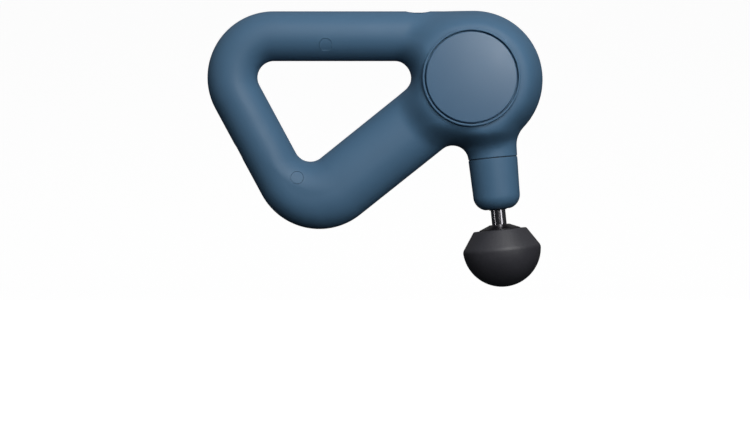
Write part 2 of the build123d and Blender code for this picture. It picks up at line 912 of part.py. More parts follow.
with BuildPart() as drive_shaft:
    with BuildSketch(motor_plane(-clevis_outer)):
        with Locations((0, wrist_station)):
            Circle(clevis_half_width)
        with Locations((0, (wrist_station + shaft_shoulder) / 2)):
            Rectangle(2 * clevis_half_width, shaft_shoulder - wrist_station)
    extrude(amount=2 * clevis_outer)
    with BuildSketch(motor_plane(-clevis_inner)):
        with Locations((0, clevis_floor / 2)):
            Rectangle(4 * clevis_half_width, clevis_floor)
    extrude(amount=2 * clevis_inner, mode=Mode.SUBTRACT)
    with BuildSketch(motor_plane(-clevis_outer)):
        with Locations((0, wrist_station)):
            Circle(wrist_pin_radius + seat_gap)
    extrude(amount=2 * clevis_outer, mode=Mode.SUBTRACT)
    add(shaft_rod)
save(drive_shaft, "drive_shaft")

with BuildPart() as wrist_pin:
    with BuildSketch(motor_plane(-clevis_outer)):
        with Locations((0, wrist_station)):
            Circle(wrist_pin_radius)
    extrude(amount=2 * clevis_outer)
save(wrist_pin, "wrist_pin")

with BuildPart() as shaft_detent_ring:
    add(spin_about_nose([
        (groove_radius + seat_gap, groove_station),
        (shaft_radius, groove_station),
        (shaft_radius, groove_station + groove_width),
        (groove_radius + seat_gap, groove_station + groove_width),
    ]))
save(shaft_detent_ring, "shaft_detent_ring")

with BuildPart() as guide_bushings:
    for start in (tube_start + bearing_recess, tube_end - bushing_length):
        add(spin_about_nose([
            (shaft_radius + running_gap, start),
            (bushing_radius - seat_gap, start),
            (bushing_radius - seat_gap, start + bushing_length),
            (shaft_radius + running_gap, start + bushing_length),
        ]))
save(guide_bushings, "guide_bushings")


# ---------------------------------------------------------------- massage head

with BuildPart() as head_core:
    add(spin_about_nose([
        (shaft_radius + running_gap, core_top), (core_top_radius, core_top), (cone_radius, cone_base),
        (cone_radius, core_face), (core_radius, core_face), (core_radius, core_end),
        (0, core_end), (0, socket_end), (shaft_radius + running_gap, socket_end),
    ]))
save(head_core, "head_core")

with BuildPart() as massage_head:
    with BuildSketch(motor_plane(0)) as head_profile:
        with BuildLine():
            Polyline(
                (0, core_end + face_gap), (core_radius + face_gap, core_end + face_gap),
                (core_radius + face_gap, core_face + face_gap),
                (cone_radius + face_gap, core_face + face_gap), (cone_radius + face_gap, head_top),
                (head_top_radius, head_top), (ball_shoulder_radius, ball_shoulder), (ball_radius, equator),
            )
            ThreePointArc(
                (ball_radius, equator),
                polar_point((0, equator), ball_radius, 45),
                (0, equator + ball_radius),
            )
            Line((0, equator + ball_radius), (0, core_end + face_gap))
        make_face()
        fillet(nearest_corner(head_profile, (head_top_radius, head_top)), head_rim)
    revolve(axis=drive_axis)
save(massage_head, "massage_head")


# ---------------------------------------------------------------- power button and boards

def button_dish():
    """Saddle that follows the grip's round top and dips along it under the thumb."""
    axis_height = button_dish_low + button_dish_radius
    with BuildPart() as dish:
        with BuildSketch(Plane.YZ.offset(button_x)):
            with Locations((0, button_dish_low - edge_radius)):
                Rectangle(
                    2 * button_seat_radius, edge_radius + button_dish_radius,
                    align=(Align.CENTER, Align.MIN),
                )
                SlotOverall(2 * arm_depth, 2 * edge_radius, mode=Mode.SUBTRACT)
        revolve(axis=Axis((button_x, 0, axis_height), (0, 1, 0)))
    return dish.part


thumb_dish = button_dish()

with BuildPart() as power_button:
    with BuildSketch(Plane.XY.offset(button_flange_low)):
        with Locations((button_x, 0)):
            Circle(button_radius)
    extrude(amount=head_radius - button_flange_low)
    add(thumb_dish, mode=Mode.SUBTRACT)
    with BuildSketch(Plane.XY.offset(button_flange_low)):
        with Locations((button_x, 0)):
            Circle(button_flange)
    extrude(amount=button_flange_high - button_flange_low)
    with BuildSketch(Plane.XY.offset(button_stem_foot)):
        with Locations((button_x, 0)):
            Circle(button_stem_radius)
    extrude(amount=button_flange_low - button_stem_foot)
save(power_button, "power_button")

with BuildPart() as button_switch:
    with BuildSketch(Plane.XY.offset(board_high + seat_gap)):
        with Locations((button_x, 0)):
            RectangleRounded(switch_width, switch_width, switch_corner)
    extrude(amount=switch_body_top - board_high - seat_gap)
    with BuildSketch(Plane.XY.offset(switch_body_top)):
        with Locations((button_x, 0)):
            Circle(switch_knob_radius)
    extrude(amount=switch_top - switch_body_top)
save(button_switch, "button_switch")

with BuildPart() as control_board:
    with BuildSketch(Plane.XY.offset(board_low)):
        with Locations(((board_rear + board_front) / 2, 0)):
            RectangleRounded(board_front - board_rear, 2 * board_half_width, board_corner)
    extrude(amount=board_high - board_low)
save(control_board, "control_board")


def chip(x, y, length, width, height):
    """Small block soldered under the control board."""
    with BuildPart() as block:
        with BuildSketch(Plane.XY.offset(board_low - seat_gap)):
            with Locations((x, y)):
                Rectangle(length, width)
        extrude(amount=-height)
        chamfer(block.faces().sort_by(Axis.Z)[0].edges(), chip_chamfer)
    return block.part


with BuildPart() as board_components:
    for place_and_size in board_chips:
        add(chip(*place_and_size))
save(board_components, "board_components")

charging_board_origin = port_plane(port_recess).origin - Vector(0, port_height / 2 + solder_gap, 0)

with BuildPart() as charging_board:
    with BuildSketch(Plane(origin=charging_board_origin, x_dir=port_along, z_dir=(0, -1, 0))):
        with Locations((0, charging_length / 2 + wall)):
            RectangleRounded(charging_width, charging_length, charging_corner)
    extrude(amount=charging_thickness)
save(charging_board, "charging_board")

with BuildPart() as usb_socket:
    with BuildSketch(port_plane(port_recess)):
        SlotOverall(port_length, port_height)
    extrude(amount=-socket_length)
    with BuildSketch(port_plane(port_recess)):
        SlotOverall(port_length - 2 * socket_skin, port_height - 2 * socket_skin)
    extrude(amount=-socket_length + socket_back, mode=Mode.SUBTRACT)
    with BuildSketch(port_plane(port_recess + socket_back)):
        Rectangle(socket_tongue_width, socket_tongue_height)
    extrude(amount=-socket_length + 2 * socket_back)
save(usb_socket, "usb_socket")


# ---------------------------------------------------------------- battery

battery_plane = Plane(origin=battery_centre, x_dir=(0, 1, 0), z_dir=arm_direction)
cell_places = [(0, cell_pitch / 2), (0, -cell_pitch / 2)]

with BuildPart() as battery_cells:
    with BuildSketch(battery_plane.offset(-cell_length / 2)):
        with Locations(*cell_places):
            Circle(cell_radius)
    extrude(amount=cell_length)
    fillet(battery_cells.edges().filter_by(GeomType.CIRCLE), cell_rim)
save(battery_cells, "battery_cells")

with BuildPart() as battery_holder:
    for end in (-1, 1):
        with BuildSketch(battery_plane.offset(end * (cell_length / 2 + face_gap))):
            RectangleRounded(holder_width, cell_pitch + 2 * cell_radius, cell_radius)
            with Locations(*cell_places):
                Circle(tab_window, mode=Mode.SUBTRACT)
        extrude(amount=end * holder_end)
    with BuildSketch(battery_plane.offset(-cell_length / 2 - face_gap)):
        with Locations((rib_reach, 0), (-rib_reach, 0)):
            Rectangle(rib_width, rib_width)
    extrude(amount=cell_length + 2 * face_gap)
save(battery_holder, "battery_holder")

with BuildPart() as battery_tabs:
    for end in (-1, 1):
        with BuildSketch(battery_plane.offset(end * (cell_length / 2 + face_gap))):
            with Locations(*cell_places):
                Circle(tab_radius)
        extrude(amount=end * tab_thickness)
save(battery_tabs, "battery_tabs")


# ---------------------------------------------------------------- cables

def wire(points):
    """Insulated wire swept along a smooth curve through the given points."""
    with BuildPart() as strand:
        with BuildLine() as path:
            Spline(*points)
        with BuildSketch(Plane(origin=path.line @ 0, z_dir=path.line % 0)):
            Circle(wire_radius)
        sweep()
    return strand.part


def shifted(route, spread, shift):
    """The points of a route, each moved by the shift times its own spread."""
    return [Vector(*point) + Vector(*way) * shift for point, way in zip(route, spread)]


with BuildPart() as battery_cable:
    for depth in battery_wire_depths:
        add(wire([(x, depth, z) for x, z in battery_wire_route]))
save(battery_cable, "battery_cable")

with BuildPart() as motor_cable:
    for shift in motor_wire_shifts:
        add(wire(shifted(motor_wire_route, motor_wire_spread, shift)))
save(motor_cable, "motor_cable")

with BuildPart() as charging_cable:
    for shift in charging_wire_shifts:
        add(wire(shifted(charging_wire_route, charging_wire_spread, shift)))
save(charging_cable, "charging_cable")
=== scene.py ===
import json
import math

import bmesh
import bpy
import numpy as np
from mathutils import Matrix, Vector

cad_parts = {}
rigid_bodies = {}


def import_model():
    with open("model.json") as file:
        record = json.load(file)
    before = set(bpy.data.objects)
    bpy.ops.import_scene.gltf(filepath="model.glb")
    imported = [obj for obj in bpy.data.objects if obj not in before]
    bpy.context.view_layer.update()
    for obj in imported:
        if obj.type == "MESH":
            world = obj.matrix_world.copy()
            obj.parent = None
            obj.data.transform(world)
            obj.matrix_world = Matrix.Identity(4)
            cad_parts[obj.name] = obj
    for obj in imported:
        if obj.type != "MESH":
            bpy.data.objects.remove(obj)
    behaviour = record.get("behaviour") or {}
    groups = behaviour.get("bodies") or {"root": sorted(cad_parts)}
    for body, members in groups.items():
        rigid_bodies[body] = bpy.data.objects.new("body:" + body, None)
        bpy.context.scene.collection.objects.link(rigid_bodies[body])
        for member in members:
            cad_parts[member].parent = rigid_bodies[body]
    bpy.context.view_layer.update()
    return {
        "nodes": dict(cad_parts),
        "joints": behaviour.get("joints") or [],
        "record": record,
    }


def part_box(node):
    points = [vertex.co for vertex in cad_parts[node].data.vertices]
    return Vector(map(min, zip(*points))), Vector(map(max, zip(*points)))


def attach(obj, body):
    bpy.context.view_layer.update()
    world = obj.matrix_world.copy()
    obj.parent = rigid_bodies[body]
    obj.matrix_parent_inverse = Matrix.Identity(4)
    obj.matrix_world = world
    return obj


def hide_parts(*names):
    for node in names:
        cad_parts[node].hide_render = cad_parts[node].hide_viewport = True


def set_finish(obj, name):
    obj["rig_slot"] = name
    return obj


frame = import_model()

# The looks of a hand-held massage gun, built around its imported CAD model.
# Sizes are in millimetres and the world is in metres. The frame is the CAD frame: origin at the
# centre of the side covers, +X to the head end, +Z up, -Y out of the right side cover.
MM = 0.001


# ---------------------------------------------------------------- places read from the frame

def record_joint(name):
    return next(joint for joint in frame["joints"] if joint["name"] == name)


def box_mm(node):
    """Lowest and highest corners of a CAD node in millimetres."""
    low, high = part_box(node)
    return np.array(low) / MM, np.array(high) / MM


MOTOR = np.array(record_joint("motor_turn")["pos_m"]) / MM
ALONG = np.array(record_joint("shaft_stroke")["axis"])
ALONG = ALONG / np.linalg.norm(ALONG)
ACROSS = np.array([-ALONG[2], 0.0, ALONG[0]])
COVER_FACE = -box_mm("right_side_cover")[0][1]
COVER_RADIUS = box_mm("right_side_cover")[1][0]
BUTTON_LOW, BUTTON_HIGH = box_mm("power_button")
BUTTON_X = (BUTTON_LOW[0] + BUTTON_HIGH[0]) / 2
TOP = box_mm("right_casing_shell")[1][2]


# ---------------------------------------------------------------- casing outline

HEAD_CENTRE = np.array([2.5, 0.0])
HEAD_RADIUS = 44.0
REAR_CORNER = (-196.3, 44.0)
LOWER_CORNER = (-109.2, -117.3)
ARMPIT_CORNER = (-3.3, -33.1)
REAR_RADIUS = 42.3
LOWER_RADIUS = 41.8
ARMPIT_RADIUS = 10.0
CHIN_RADIUS = 16.6
NOSE_HALF_WIDTH = 15.2
NOSE_CUT = 62.0
NOSE_END = 78.0
NOSE_SEAM = 50.5
SEAM_GAP = 0.35
INSIDE_HEAD = np.array([28.5, -15.0])
FINGER_HOLE = [(-142.8, 12.2), (-105.1, -57.7), (-18.0, 12.2)]
FINGER_HOLE_RADIUS = 10.5


def unit(vector):
    return vector / np.linalg.norm(vector)


def on_nose(radius, distance):
    """Point in the X-Z plane at a radius and a distance along the drive axis."""
    point = MOTOR + ACROSS * radius + ALONG * distance
    return np.array([point[0], point[2]])


def corner_arc(before, corner, after, radius):
    """Start, end and centre of the arc that rounds a corner."""
    corner = np.array(corner, float)
    back = unit(np.array(before) - corner)
    ahead = unit(np.array(after) - corner)
    half_angle = math.acos(np.clip(back @ ahead, -1, 1)) / 2
    reach = radius / math.tan(half_angle)
    centre = corner + unit(back + ahead) * radius / math.sin(half_angle)
    return corner + back * reach, corner + ahead * reach, centre


def line(start, end):
    return ("line", np.array(start, float), np.array(end, float))


def arc(start, end, centre, convex):
    return ("arc", np.array(start, float), np.array(end, float), np.array(centre, float), convex)


def rounded_triangle(corners, radius):
    """Anticlockwise loop of lines and arcs, given corners in anticlockwise order."""
    arcs = [
        corner_arc(corners[i - 1], corners[i], corners[(i + 1) % len(corners)], radius)
        for i in range(len(corners))
    ]
    loop = []
    for i, (start, end, centre) in enumerate(arcs):
        loop.append(arc(start, end, centre, True))
        loop.append(line(end, arcs[(i + 1) % len(arcs)][0]))
    return loop


def outer_loop():
    """The casing's outer outline, anticlockwise seen from -Y."""
    nose_left = on_nose(-NOSE_HALF_WIDTH, NOSE_CUT)
    nose_right = on_nose(NOSE_HALF_WIDTH, NOSE_CUT)
    left_way = unit(nose_left - np.array(ARMPIT_CORNER))
    right_way = unit(INSIDE_HEAD - nose_right)
    left_tip = nose_left + left_way * (NOSE_END - NOSE_CUT)
    right_tip = nose_right - right_way * (NOSE_END - NOSE_CUT)
    head_top = HEAD_CENTRE + np.array([0, HEAD_RADIUS])
    rear = corner_arc(head_top, REAR_CORNER, LOWER_CORNER, REAR_RADIUS)
    lower = corner_arc(REAR_CORNER, LOWER_CORNER, ARMPIT_CORNER, LOWER_RADIUS)
    armpit = corner_arc(LOWER_CORNER, ARMPIT_CORNER, nose_left, ARMPIT_RADIUS)
    outward = np.array([right_way[1], -right_way[0]])
    base = nose_right + outward * CHIN_RADIUS - HEAD_CENTRE
    middle = base @ right_way
    reach = HEAD_RADIUS + CHIN_RADIUS
    slide = -middle - math.sqrt(middle ** 2 - base @ base + reach ** 2)
    chin_centre = nose_right + outward * CHIN_RADIUS + right_way * slide
    chin_start = chin_centre - outward * CHIN_RADIUS
    chin_end = HEAD_CENTRE + unit(chin_centre - HEAD_CENTRE) * HEAD_RADIUS
    return [
        line(head_top, rear[0]), arc(rear[0], rear[1], rear[2], True),
        line(rear[1], lower[0]), arc(lower[0], lower[1], lower[2], True),
        line(lower[1], armpit[0]), arc(armpit[0], armpit[1], armpit[2], False),
        line(armpit[1], left_tip), line(left_tip, right_tip), line(right_tip, chin_start),
        arc(chin_start, chin_end, chin_centre, False),
        arc(chin_end, head_top, HEAD_CENTRE, True),
    ]


def turn_between(start, end, positive):
    """Angle swept from one direction to another, in the stated sense."""
    sweep = math.atan2(start[0] * end[1] - start[1] * end[0], start @ end)
    if positive:
        return sweep % (2 * math.pi)
    return -((-sweep) % (2 * math.pi))


def loop_depth(points, loop):
    """Signed distance of X-Z points inside an anticlockwise loop."""
    best = np.full(len(points), np.inf)
    signed = np.zeros(len(points))
    for element in loop:
        start, end = element[1], element[2]
        if element[0] == "line":
            way = end - start
            share = np.clip(((points - start) @ way) / (way @ way), 0, 1)
            gap = points - start - share[:, None] * way
            distance = np.hypot(gap[:, 0], gap[:, 1])
            side = way[0] * (points[:, 1] - start[1]) - way[1] * (points[:, 0] - start[0])
        else:
            centre, convex = element[3], element[4]
            radius = np.linalg.norm(start - centre)
            spoke = points - centre
            length = np.hypot(spoke[:, 0], spoke[:, 1])
            sweep = turn_between(start - centre, end - centre, convex)
            begin = start - centre
            angle = np.arctan2(begin[0] * spoke[:, 1] - begin[1] * spoke[:, 0], spoke @ begin)
            angle = np.mod(angle, 2 * math.pi) if convex else -np.mod(-angle, 2 * math.pi)
            within = np.abs(angle) <= abs(sweep)
            distance = np.where(within, np.abs(length - radius), np.inf)
            side = (radius - length) if convex else (length - radius)
        nearer = distance < best
        best = np.where(nearer, distance, best)
        signed = np.where(nearer, np.where(side >= 0, distance, -distance), signed)
    return signed


OUTER_LOOP = outer_loop()
HOLE_LOOP = rounded_triangle(FINGER_HOLE, FINGER_HOLE_RADIUS)


# ---------------------------------------------------------------- casing form

HEAD_DEPTH = 28.0
ARM_DEPTH = 16.0
BATTERY_ARM_DEPTH = 17.2
HEAD_FLAT = 30.0
HEAD_SLOPE_END = 55.0
EDGE_WIDTH = 15.8
BATTERY_EDGE_WIDTH = 21.0
HEAD_EDGE_DEPTH = 18.0
WALL = 2.2
ARM_CENTRE = np.array([-96.0, -70.0])
ARM_WAY = unit(np.array([0.782, 0.624]))
ARM_START = (-25.0, 8.0)
ARM_FADE = (20.0, 42.0)
NOSE_RADIUS = 15.72
NOSE_START = (33.0, 49.0)
NOSE_FADE = (17.0, 24.0)


def smooth_step(low, high, value):
    """Quintic step from 0 at low to 1 at high."""
    t = np.clip((value - low) / (high - low), 0, 1)
    return t ** 3 * (t * (6 * t - 15) + 10)


def plan_fields(points):
    """Depth inside the outline, half depth, edge width and edge depth at X-Z points."""
    inside = np.minimum(loop_depth(points, OUTER_LOOP), -loop_depth(points, HOLE_LOOP))
    radius = np.hypot(points[:, 0] - HEAD_CENTRE[0], points[:, 1] - HEAD_CENTRE[1])
    away = smooth_step(HEAD_FLAT, HEAD_SLOPE_END, radius)
    offset = points - ARM_CENTRE
    lengthwise = offset @ ARM_WAY
    sideways = np.abs(offset @ np.array([-ARM_WAY[1], ARM_WAY[0]]))
    in_arm = smooth_step(*ARM_START, lengthwise) * (1 - smooth_step(*ARM_FADE, sideways)) * away
    from_motor = points - MOTOR[[0, 2]]
    down = from_motor @ ALONG[[0, 2]]
    aside = np.abs(from_motor @ ACROSS[[0, 2]])
    in_nose = smooth_step(*NOSE_START, down) * (1 - smooth_step(*NOSE_FADE, aside))
    half_depth = HEAD_DEPTH + (ARM_DEPTH - HEAD_DEPTH) * away + (BATTERY_ARM_DEPTH - ARM_DEPTH) * in_arm
    half_depth = half_depth + (NOSE_RADIUS - half_depth) * in_nose
    edge_width = EDGE_WIDTH + (BATTERY_EDGE_WIDTH - EDGE_WIDTH) * in_arm
    edge_width = edge_width + (NOSE_RADIUS - edge_width) * in_nose
    edge_depth = np.minimum(half_depth, HEAD_EDGE_DEPTH)
    return inside, half_depth, edge_width, edge_depth


def form_value(fields, height, inset):
    """Below 0 inside the casing form shrunk by an inset, above 0 outside."""
    inside, half_depth, edge_width, edge_depth = fields
    side = 1 - np.minimum(inside - inset, edge_width - inset) / (edge_width - inset)
    rise = np.maximum(np.abs(height) - (half_depth - edge_depth), 0) / (edge_depth - inset)
    return np.sqrt(side ** 2 + rise ** 2) - 1


def casing_value(points, inset=0.0):
    return form_value(plan_fields(points[:, [0, 2]]), points[:, 1], inset)


def gradient(field, points, step=0.02):
    slopes = np.zeros_like(points)
    for axis in range(3):
        shift = np.zeros(3)
        shift[axis] = step
        slopes[:, axis] = (field(points + shift) - field(points - shift)) / (2 * step)
    return slopes


def settle(field, points, rounds=4):
    """Moves points onto the surface where the field is 0."""
    for _ in range(rounds):
        slopes = gradient(field, points)
        length = np.maximum((slopes ** 2).sum(axis=1), 1e-9)
        points = points - slopes * (field(points) / length)[:, None]
    return points


def surface_net(values, low, step):
    """Closed quad mesh around the grid points whose value is below 0."""
    inside = values < 0
    cells = [n - 1 for n in values.shape]
    total = np.zeros(cells + [3])
    count = np.zeros(cells)
    corners = [(i, j, k) for i in (0, 1) for j in (0, 1) for k in (0, 1)]

    def window(grid, corner):
        i, j, k = corner
        return grid[i:i + cells[0], j:j + cells[1], k:k + cells[2]]

    for first in corners:
        for axis in range(3):
            if first[axis]:
                continue
            second = tuple(c + (a == axis) for a, c in enumerate(first))
            a, b = window(values, first), window(values, second)
            crossing = window(inside, first) != window(inside, second)
            share = np.where(crossing, a / np.where(crossing, a - b, 1), 0)
            for k in range(3):
                total[..., k] += np.where(crossing, first[k] + (share if k == axis else 0), 0)
            count += crossing
    used = count > 0
    number = np.full(cells, -1)
    number[used] = np.arange(used.sum())
    where = np.argwhere(used)
    points = low + step * (where + total[used] / count[used][:, None])
    quads = []
    for axis in range(3):
        others = [a for a in range(3) if a != axis]
        near = [slice(None)] * 3
        far = [slice(None)] * 3
        near[axis], far[axis] = slice(0, -1), slice(1, None)
        change = inside[tuple(near)] != inside[tuple(far)]
        index = np.argwhere(change)
        keep = np.all([(index[:, a] > 0) & (index[:, a] < cells[a]) for a in others], axis=0)
        index = index[keep]
        ring = []
        for da, db in ((-1, -1), (0, -1), (0, 0), (-1, 0)):
            cell = index.copy()
            cell[:, others[0]] += da
            cell[:, others[1]] += db
            ring.append(number[cell[:, 0], cell[:, 1], cell[:, 2]])
        ring = np.stack(ring, axis=1)
        flip = inside[tuple(near)][change][keep] != (axis == 1)
        ring[~flip] = ring[~flip][:, ::-1]
        quads.append(ring)
    return points, np.concatenate(quads)


def mesh_object(name, points, faces):
    mesh = bpy.data.meshes.new(name)
    mesh.from_pydata((np.asarray(points) * MM).tolist(), [], [list(map(int, face)) for face in faces])
    mesh.update()
    body = bpy.data.objects.new(name, mesh)
    bpy.context.scene.collection.objects.link(body)
    return body


def neighbour_mean(points, quads):
    total = np.zeros_like(points)
    count = np.zeros(len(points))
    for shift in (1, 3):
        ring = np.roll(quads, shift, axis=1)
        for column in range(4):
            np.add.at(total, quads[:, column], points[ring[:, column]])
            np.add.at(count, quads[:, column], 1)
    return total / count[:, None]


GRID_STEP = 1.3
GRID_LOW = np.array([-172.0, -30.5, -100.0])
GRID_HIGH = np.array([52.0, 30.5, 48.0])
EVENING_ROUNDS = 3


def casing_surface(name, inset):
    """Even quad mesh of the casing form, settled on its exact surface."""
    axes = [np.arange(GRID_LOW[k], GRID_HIGH[k] + GRID_STEP, GRID_STEP) for k in range(3)]
    plan = np.stack(np.meshgrid(axes[0], axes[2], indexing="ij"), axis=-1).reshape(-1, 2)
    fields = [f.reshape(len(axes[0]), 1, len(axes[2])) for f in plan_fields(plan)]
    values = form_value(fields, axes[1][None, :, None], inset)
    points, quads = surface_net(values, GRID_LOW, GRID_STEP)

    def field(where):
        return casing_value(where, inset)

    points = settle(field, points)
    for _ in range(EVENING_ROUNDS):
        points = settle(field, (points + neighbour_mean(points, quads)) / 2, 2)
    return mesh_object(name, points, quads)


# ---------------------------------------------------------------- mesh tools

ARC_STEP = math.radians(8)
SHARP = math.radians(32)
TINY = 1e-6


def rounded_profile(corners, closed):
    """Points of a (radius, height) chain, from corners of (radius, height, fillet radius)."""
    points = []
    for i, (radius, height, fillet) in enumerate(corners):
        corner = np.array([radius, height], float)
        at_end = not closed and i in (0, len(corners) - 1)
        if at_end or fillet <= 0:
            points.append(corner)
            continue
        before = np.array(corners[i - 1][:2], float)
        after = np.array(corners[(i + 1) % len(corners)][:2], float)
        start, end, centre = corner_arc(before, corner, after, fillet)
        positive = np.cross(corner - before, after - corner) > 0
        sweep = turn_between(start - centre, end - centre, positive)
        steps = max(2, math.ceil(abs(sweep) / ARC_STEP))
        for k in range(steps + 1):
            turn = sweep * k / steps
            spoke = start - centre
            points.append(centre + np.array([
                spoke[0] * math.cos(turn) - spoke[1] * math.sin(turn),
                spoke[0] * math.sin(turn) + spoke[1] * math.cos(turn),
            ]))
    return points


def turned(name, profile, origin, axis, closed=False, segments=180):
    """Solid turned about an axis from (radius, height) points, the height being along the axis."""
    axis = unit(np.array(axis, float))
    first = unit(np.cross(axis, [0.0, 0.0, 1.0] if abs(axis[2]) < 0.9 else [0.0, 1.0, 0.0]))
    second = np.cross(axis, first)
    points, rings = [], []
    for radius, height in profile:
        if radius < TINY:
            rings.append([len(points)] * segments)
            points.append(origin + axis * height)
            continue
        rings.append(list(range(len(points), len(points) + segments)))
        for k in range(segments):
            turn = 2 * math.pi * k / segments
            spoke = first * math.cos(turn) + second * math.sin(turn)
            points.append(origin + axis * height + spoke * radius)
    faces = []
    pairs = list(zip(rings, rings[1:])) + ([(rings[-1], rings[0])] if closed else [])
    for low, high in pairs:
        for k in range(segments):
            corners = [low[k], low[(k + 1) % segments], high[(k + 1) % segments], high[k]]
            face = [c for i, c in enumerate(corners) if c != corners[i - 1]]
            if len(face) > 2:
                faces.append(face)
    body = mesh_object(name, points, faces)
    face_outward(body)
    return body


def face_outward(body):
    work = bmesh.new()
    work.from_mesh(body.data)
    bmesh.ops.recalc_face_normals(work, faces=work.faces)
    if work.calc_volume(signed=True) < 0:
        bmesh.ops.reverse_faces(work, faces=work.faces)
    work.to_mesh(body.data)
    work.free()


def block(name, centre, x_way, y_way, size):
    """Box with its sides along two given directions and their cross product."""
    x_way, y_way = unit(np.array(x_way, float)), unit(np.array(y_way, float))
    z_way = np.cross(x_way, y_way)
    points = [
        np.array(centre) + x_way * i * size[0] / 2 + y_way * j * size[1] / 2 + z_way * k * size[2] / 2
        for i in (-1, 1) for j in (-1, 1) for k in (-1, 1)
    ]
    faces = [(0, 1, 3, 2), (4, 6, 7, 5), (0, 4, 5, 1), (2, 3, 7, 6), (0, 2, 6, 4), (1, 5, 7, 3)]
    body = mesh_object(name, points, faces)
    face_outward(body)
    return body


def slot_block(name, centre, long_way, across_way, size, segments=24):
    """Bar of stadium section: its size is along long_way, across_way and their cross product."""
    long_way, across_way = unit(np.array(long_way, float)), unit(np.array(across_way, float))
    depth_way = np.cross(long_way, across_way)
    radius = size[1] / 2
    rim = []
    for side in (1, -1):
        for k in range(segments + 1):
            turn = side * math.pi / 2 - math.pi * k / segments
            rim.append((side * (size[0] / 2 - radius) + radius * math.cos(turn), radius * math.sin(turn)))
    count = len(rim)
    points = [
        np.array(centre) + long_way * x + across_way * y + depth_way * d
        for d in (-size[2] / 2, size[2] / 2) for x, y in rim
    ]
    faces = [tuple(range(count)), tuple(range(2 * count - 1, count - 1, -1))]
    faces += [(k, (k + 1) % count, count + (k + 1) % count, count + k) for k in range(count)]
    body = mesh_object(name, points, faces)
    face_outward(body)
    return body


def combine(target, tool, operation, keep_tool=False):
    """Boolean of two closed meshes, applied at once."""
    change = target.modifiers.new("combine", "BOOLEAN")
    change.operation = operation
    change.solver = "MANIFOLD"
    change.object = tool
    bpy.context.view_layer.update()
    shape = bpy.data.meshes.new_from_object(target.evaluated_get(bpy.context.evaluated_depsgraph_get()))
    target.modifiers.clear()
    old = target.data
    target.data = shape
    bpy.data.meshes.remove(old)
    if not keep_tool:
        discard(tool)
    return target


def discard(body):
    mesh = body.data
    bpy.data.objects.remove(body)
    bpy.data.meshes.remove(mesh)


def copy_of(body, name):
    twin = body.copy()
    twin.data = body.data.copy()
    twin.name = name
    bpy.context.scene.collection.objects.link(twin)
    return twin


def smooth_shade(body):
    body.data.shade_smooth()
    body.data.set_sharp_from_angle(angle=SHARP)


# ---------------------------------------------------------------- casing halves

OUTSIDE = 40.0
FINE_SEGMENTS = 240
RING_INNER = 29.45
RING_OUTER = 30.75
RING_FACE = 30.05
RING_FOOT = 23.7
RING_FLARE = 0.5
RING_INNER_FILLET = 0.45
RING_OUTER_FILLET = 0.75
RECESS_FLOOR = 27.2
RECESS_EXTRA = 0.3
NOSE_EDGE = 15.1
NOSE_EDGE_FILLET = 0.5
NOSE_CLEAR = 24.0
NOSE_CLEAR_END = 80.0
NOSE_SLOPE = (17.0, 1.2)
BUTTON_FLANGE = (BUTTON_HIGH[0] - BUTTON_LOW[0]) / 2
BUTTON_RADIUS = BUTTON_FLANGE - 1.1
FLANGE_LOW = BUTTON_LOW[2] + 2.3
FLANGE_HIGH = BUTTON_LOW[2] + 3.4
WELL_FLOOR = 33.0
WELL_GAP = 0.25
SEAT_GAP = 0.4
SEAT_LIFT = 0.05
ABOVE_TOP = 3.0
PARTING = 0.04
PARTING_FILLET = 0.35
PARTING_DEPTH = 0.22
LEAST_SHARE = 1e-4
SKIN_TOLERANCE = 0.05
FACING_LIMIT = 0.94
PLUG_RADIUS = 3.88
PLUG_BORE = 4.12
PLUG_FLOOR = 12.4
PLUG_LIFT = 0.2
PLUG_FILLET = 0.15
PLUG_REACH = 30.0
PLUG_SINK = 0.10
PLUG_SEGMENTS = 72
OTHER_HALF = (600.0, 200.0, 400.0)
CENTRE = np.array([0.0, 0.0, 0.0])
RIGHT = (0.0, -1.0, 0.0)
LEFT = (0.0, 1.0, 0.0)
UP = (0.0, 0.0, 1.0)


def add_cover_seat(shell, way):
    """Recess for the side cover and the raised ring around it."""
    wide = RING_INNER + RECESS_EXTRA
    recess = turned("recess", rounded_profile([
        (0, RECESS_FLOOR, 0), (wide, RECESS_FLOOR, 0), (wide, OUTSIDE, 0), (0, OUTSIDE, 0),
    ], False), CENTRE, way, segments=FINE_SEGMENTS)
    combine(shell, recess, "DIFFERENCE")
    foot = RING_OUTER + RING_FLARE
    ring = turned("ring", rounded_profile([
        (RING_INNER, RING_FOOT, 0), (foot, RING_FOOT, 0), (foot, RING_FOOT + RING_FLARE, 0),
        (RING_OUTER, RING_FACE, RING_OUTER_FILLET), (RING_INNER, RING_FACE, RING_INNER_FILLET),
    ], True), CENTRE, way, closed=True, segments=FINE_SEGMENTS)
    combine(shell, ring, "UNION")


def trim_nose(shell):
    """Cuts the casing at the nose seam and rounds the edge of the cut."""
    seam = NOSE_SEAM - SEAM_GAP
    slope_radius, slope_height = NOSE_SLOPE
    cutter = turned("nose_cut", rounded_profile([
        (0, seam, 0), (NOSE_EDGE, seam, NOSE_EDGE_FILLET), (slope_radius, seam - slope_height, 0),
        (NOSE_CLEAR, seam - slope_height, 0), (NOSE_CLEAR, NOSE_CLEAR_END, 0), (0, NOSE_CLEAR_END, 0),
    ], False), MOTOR, ALONG, segments=160)
    combine(shell, cutter, "DIFFERENCE")


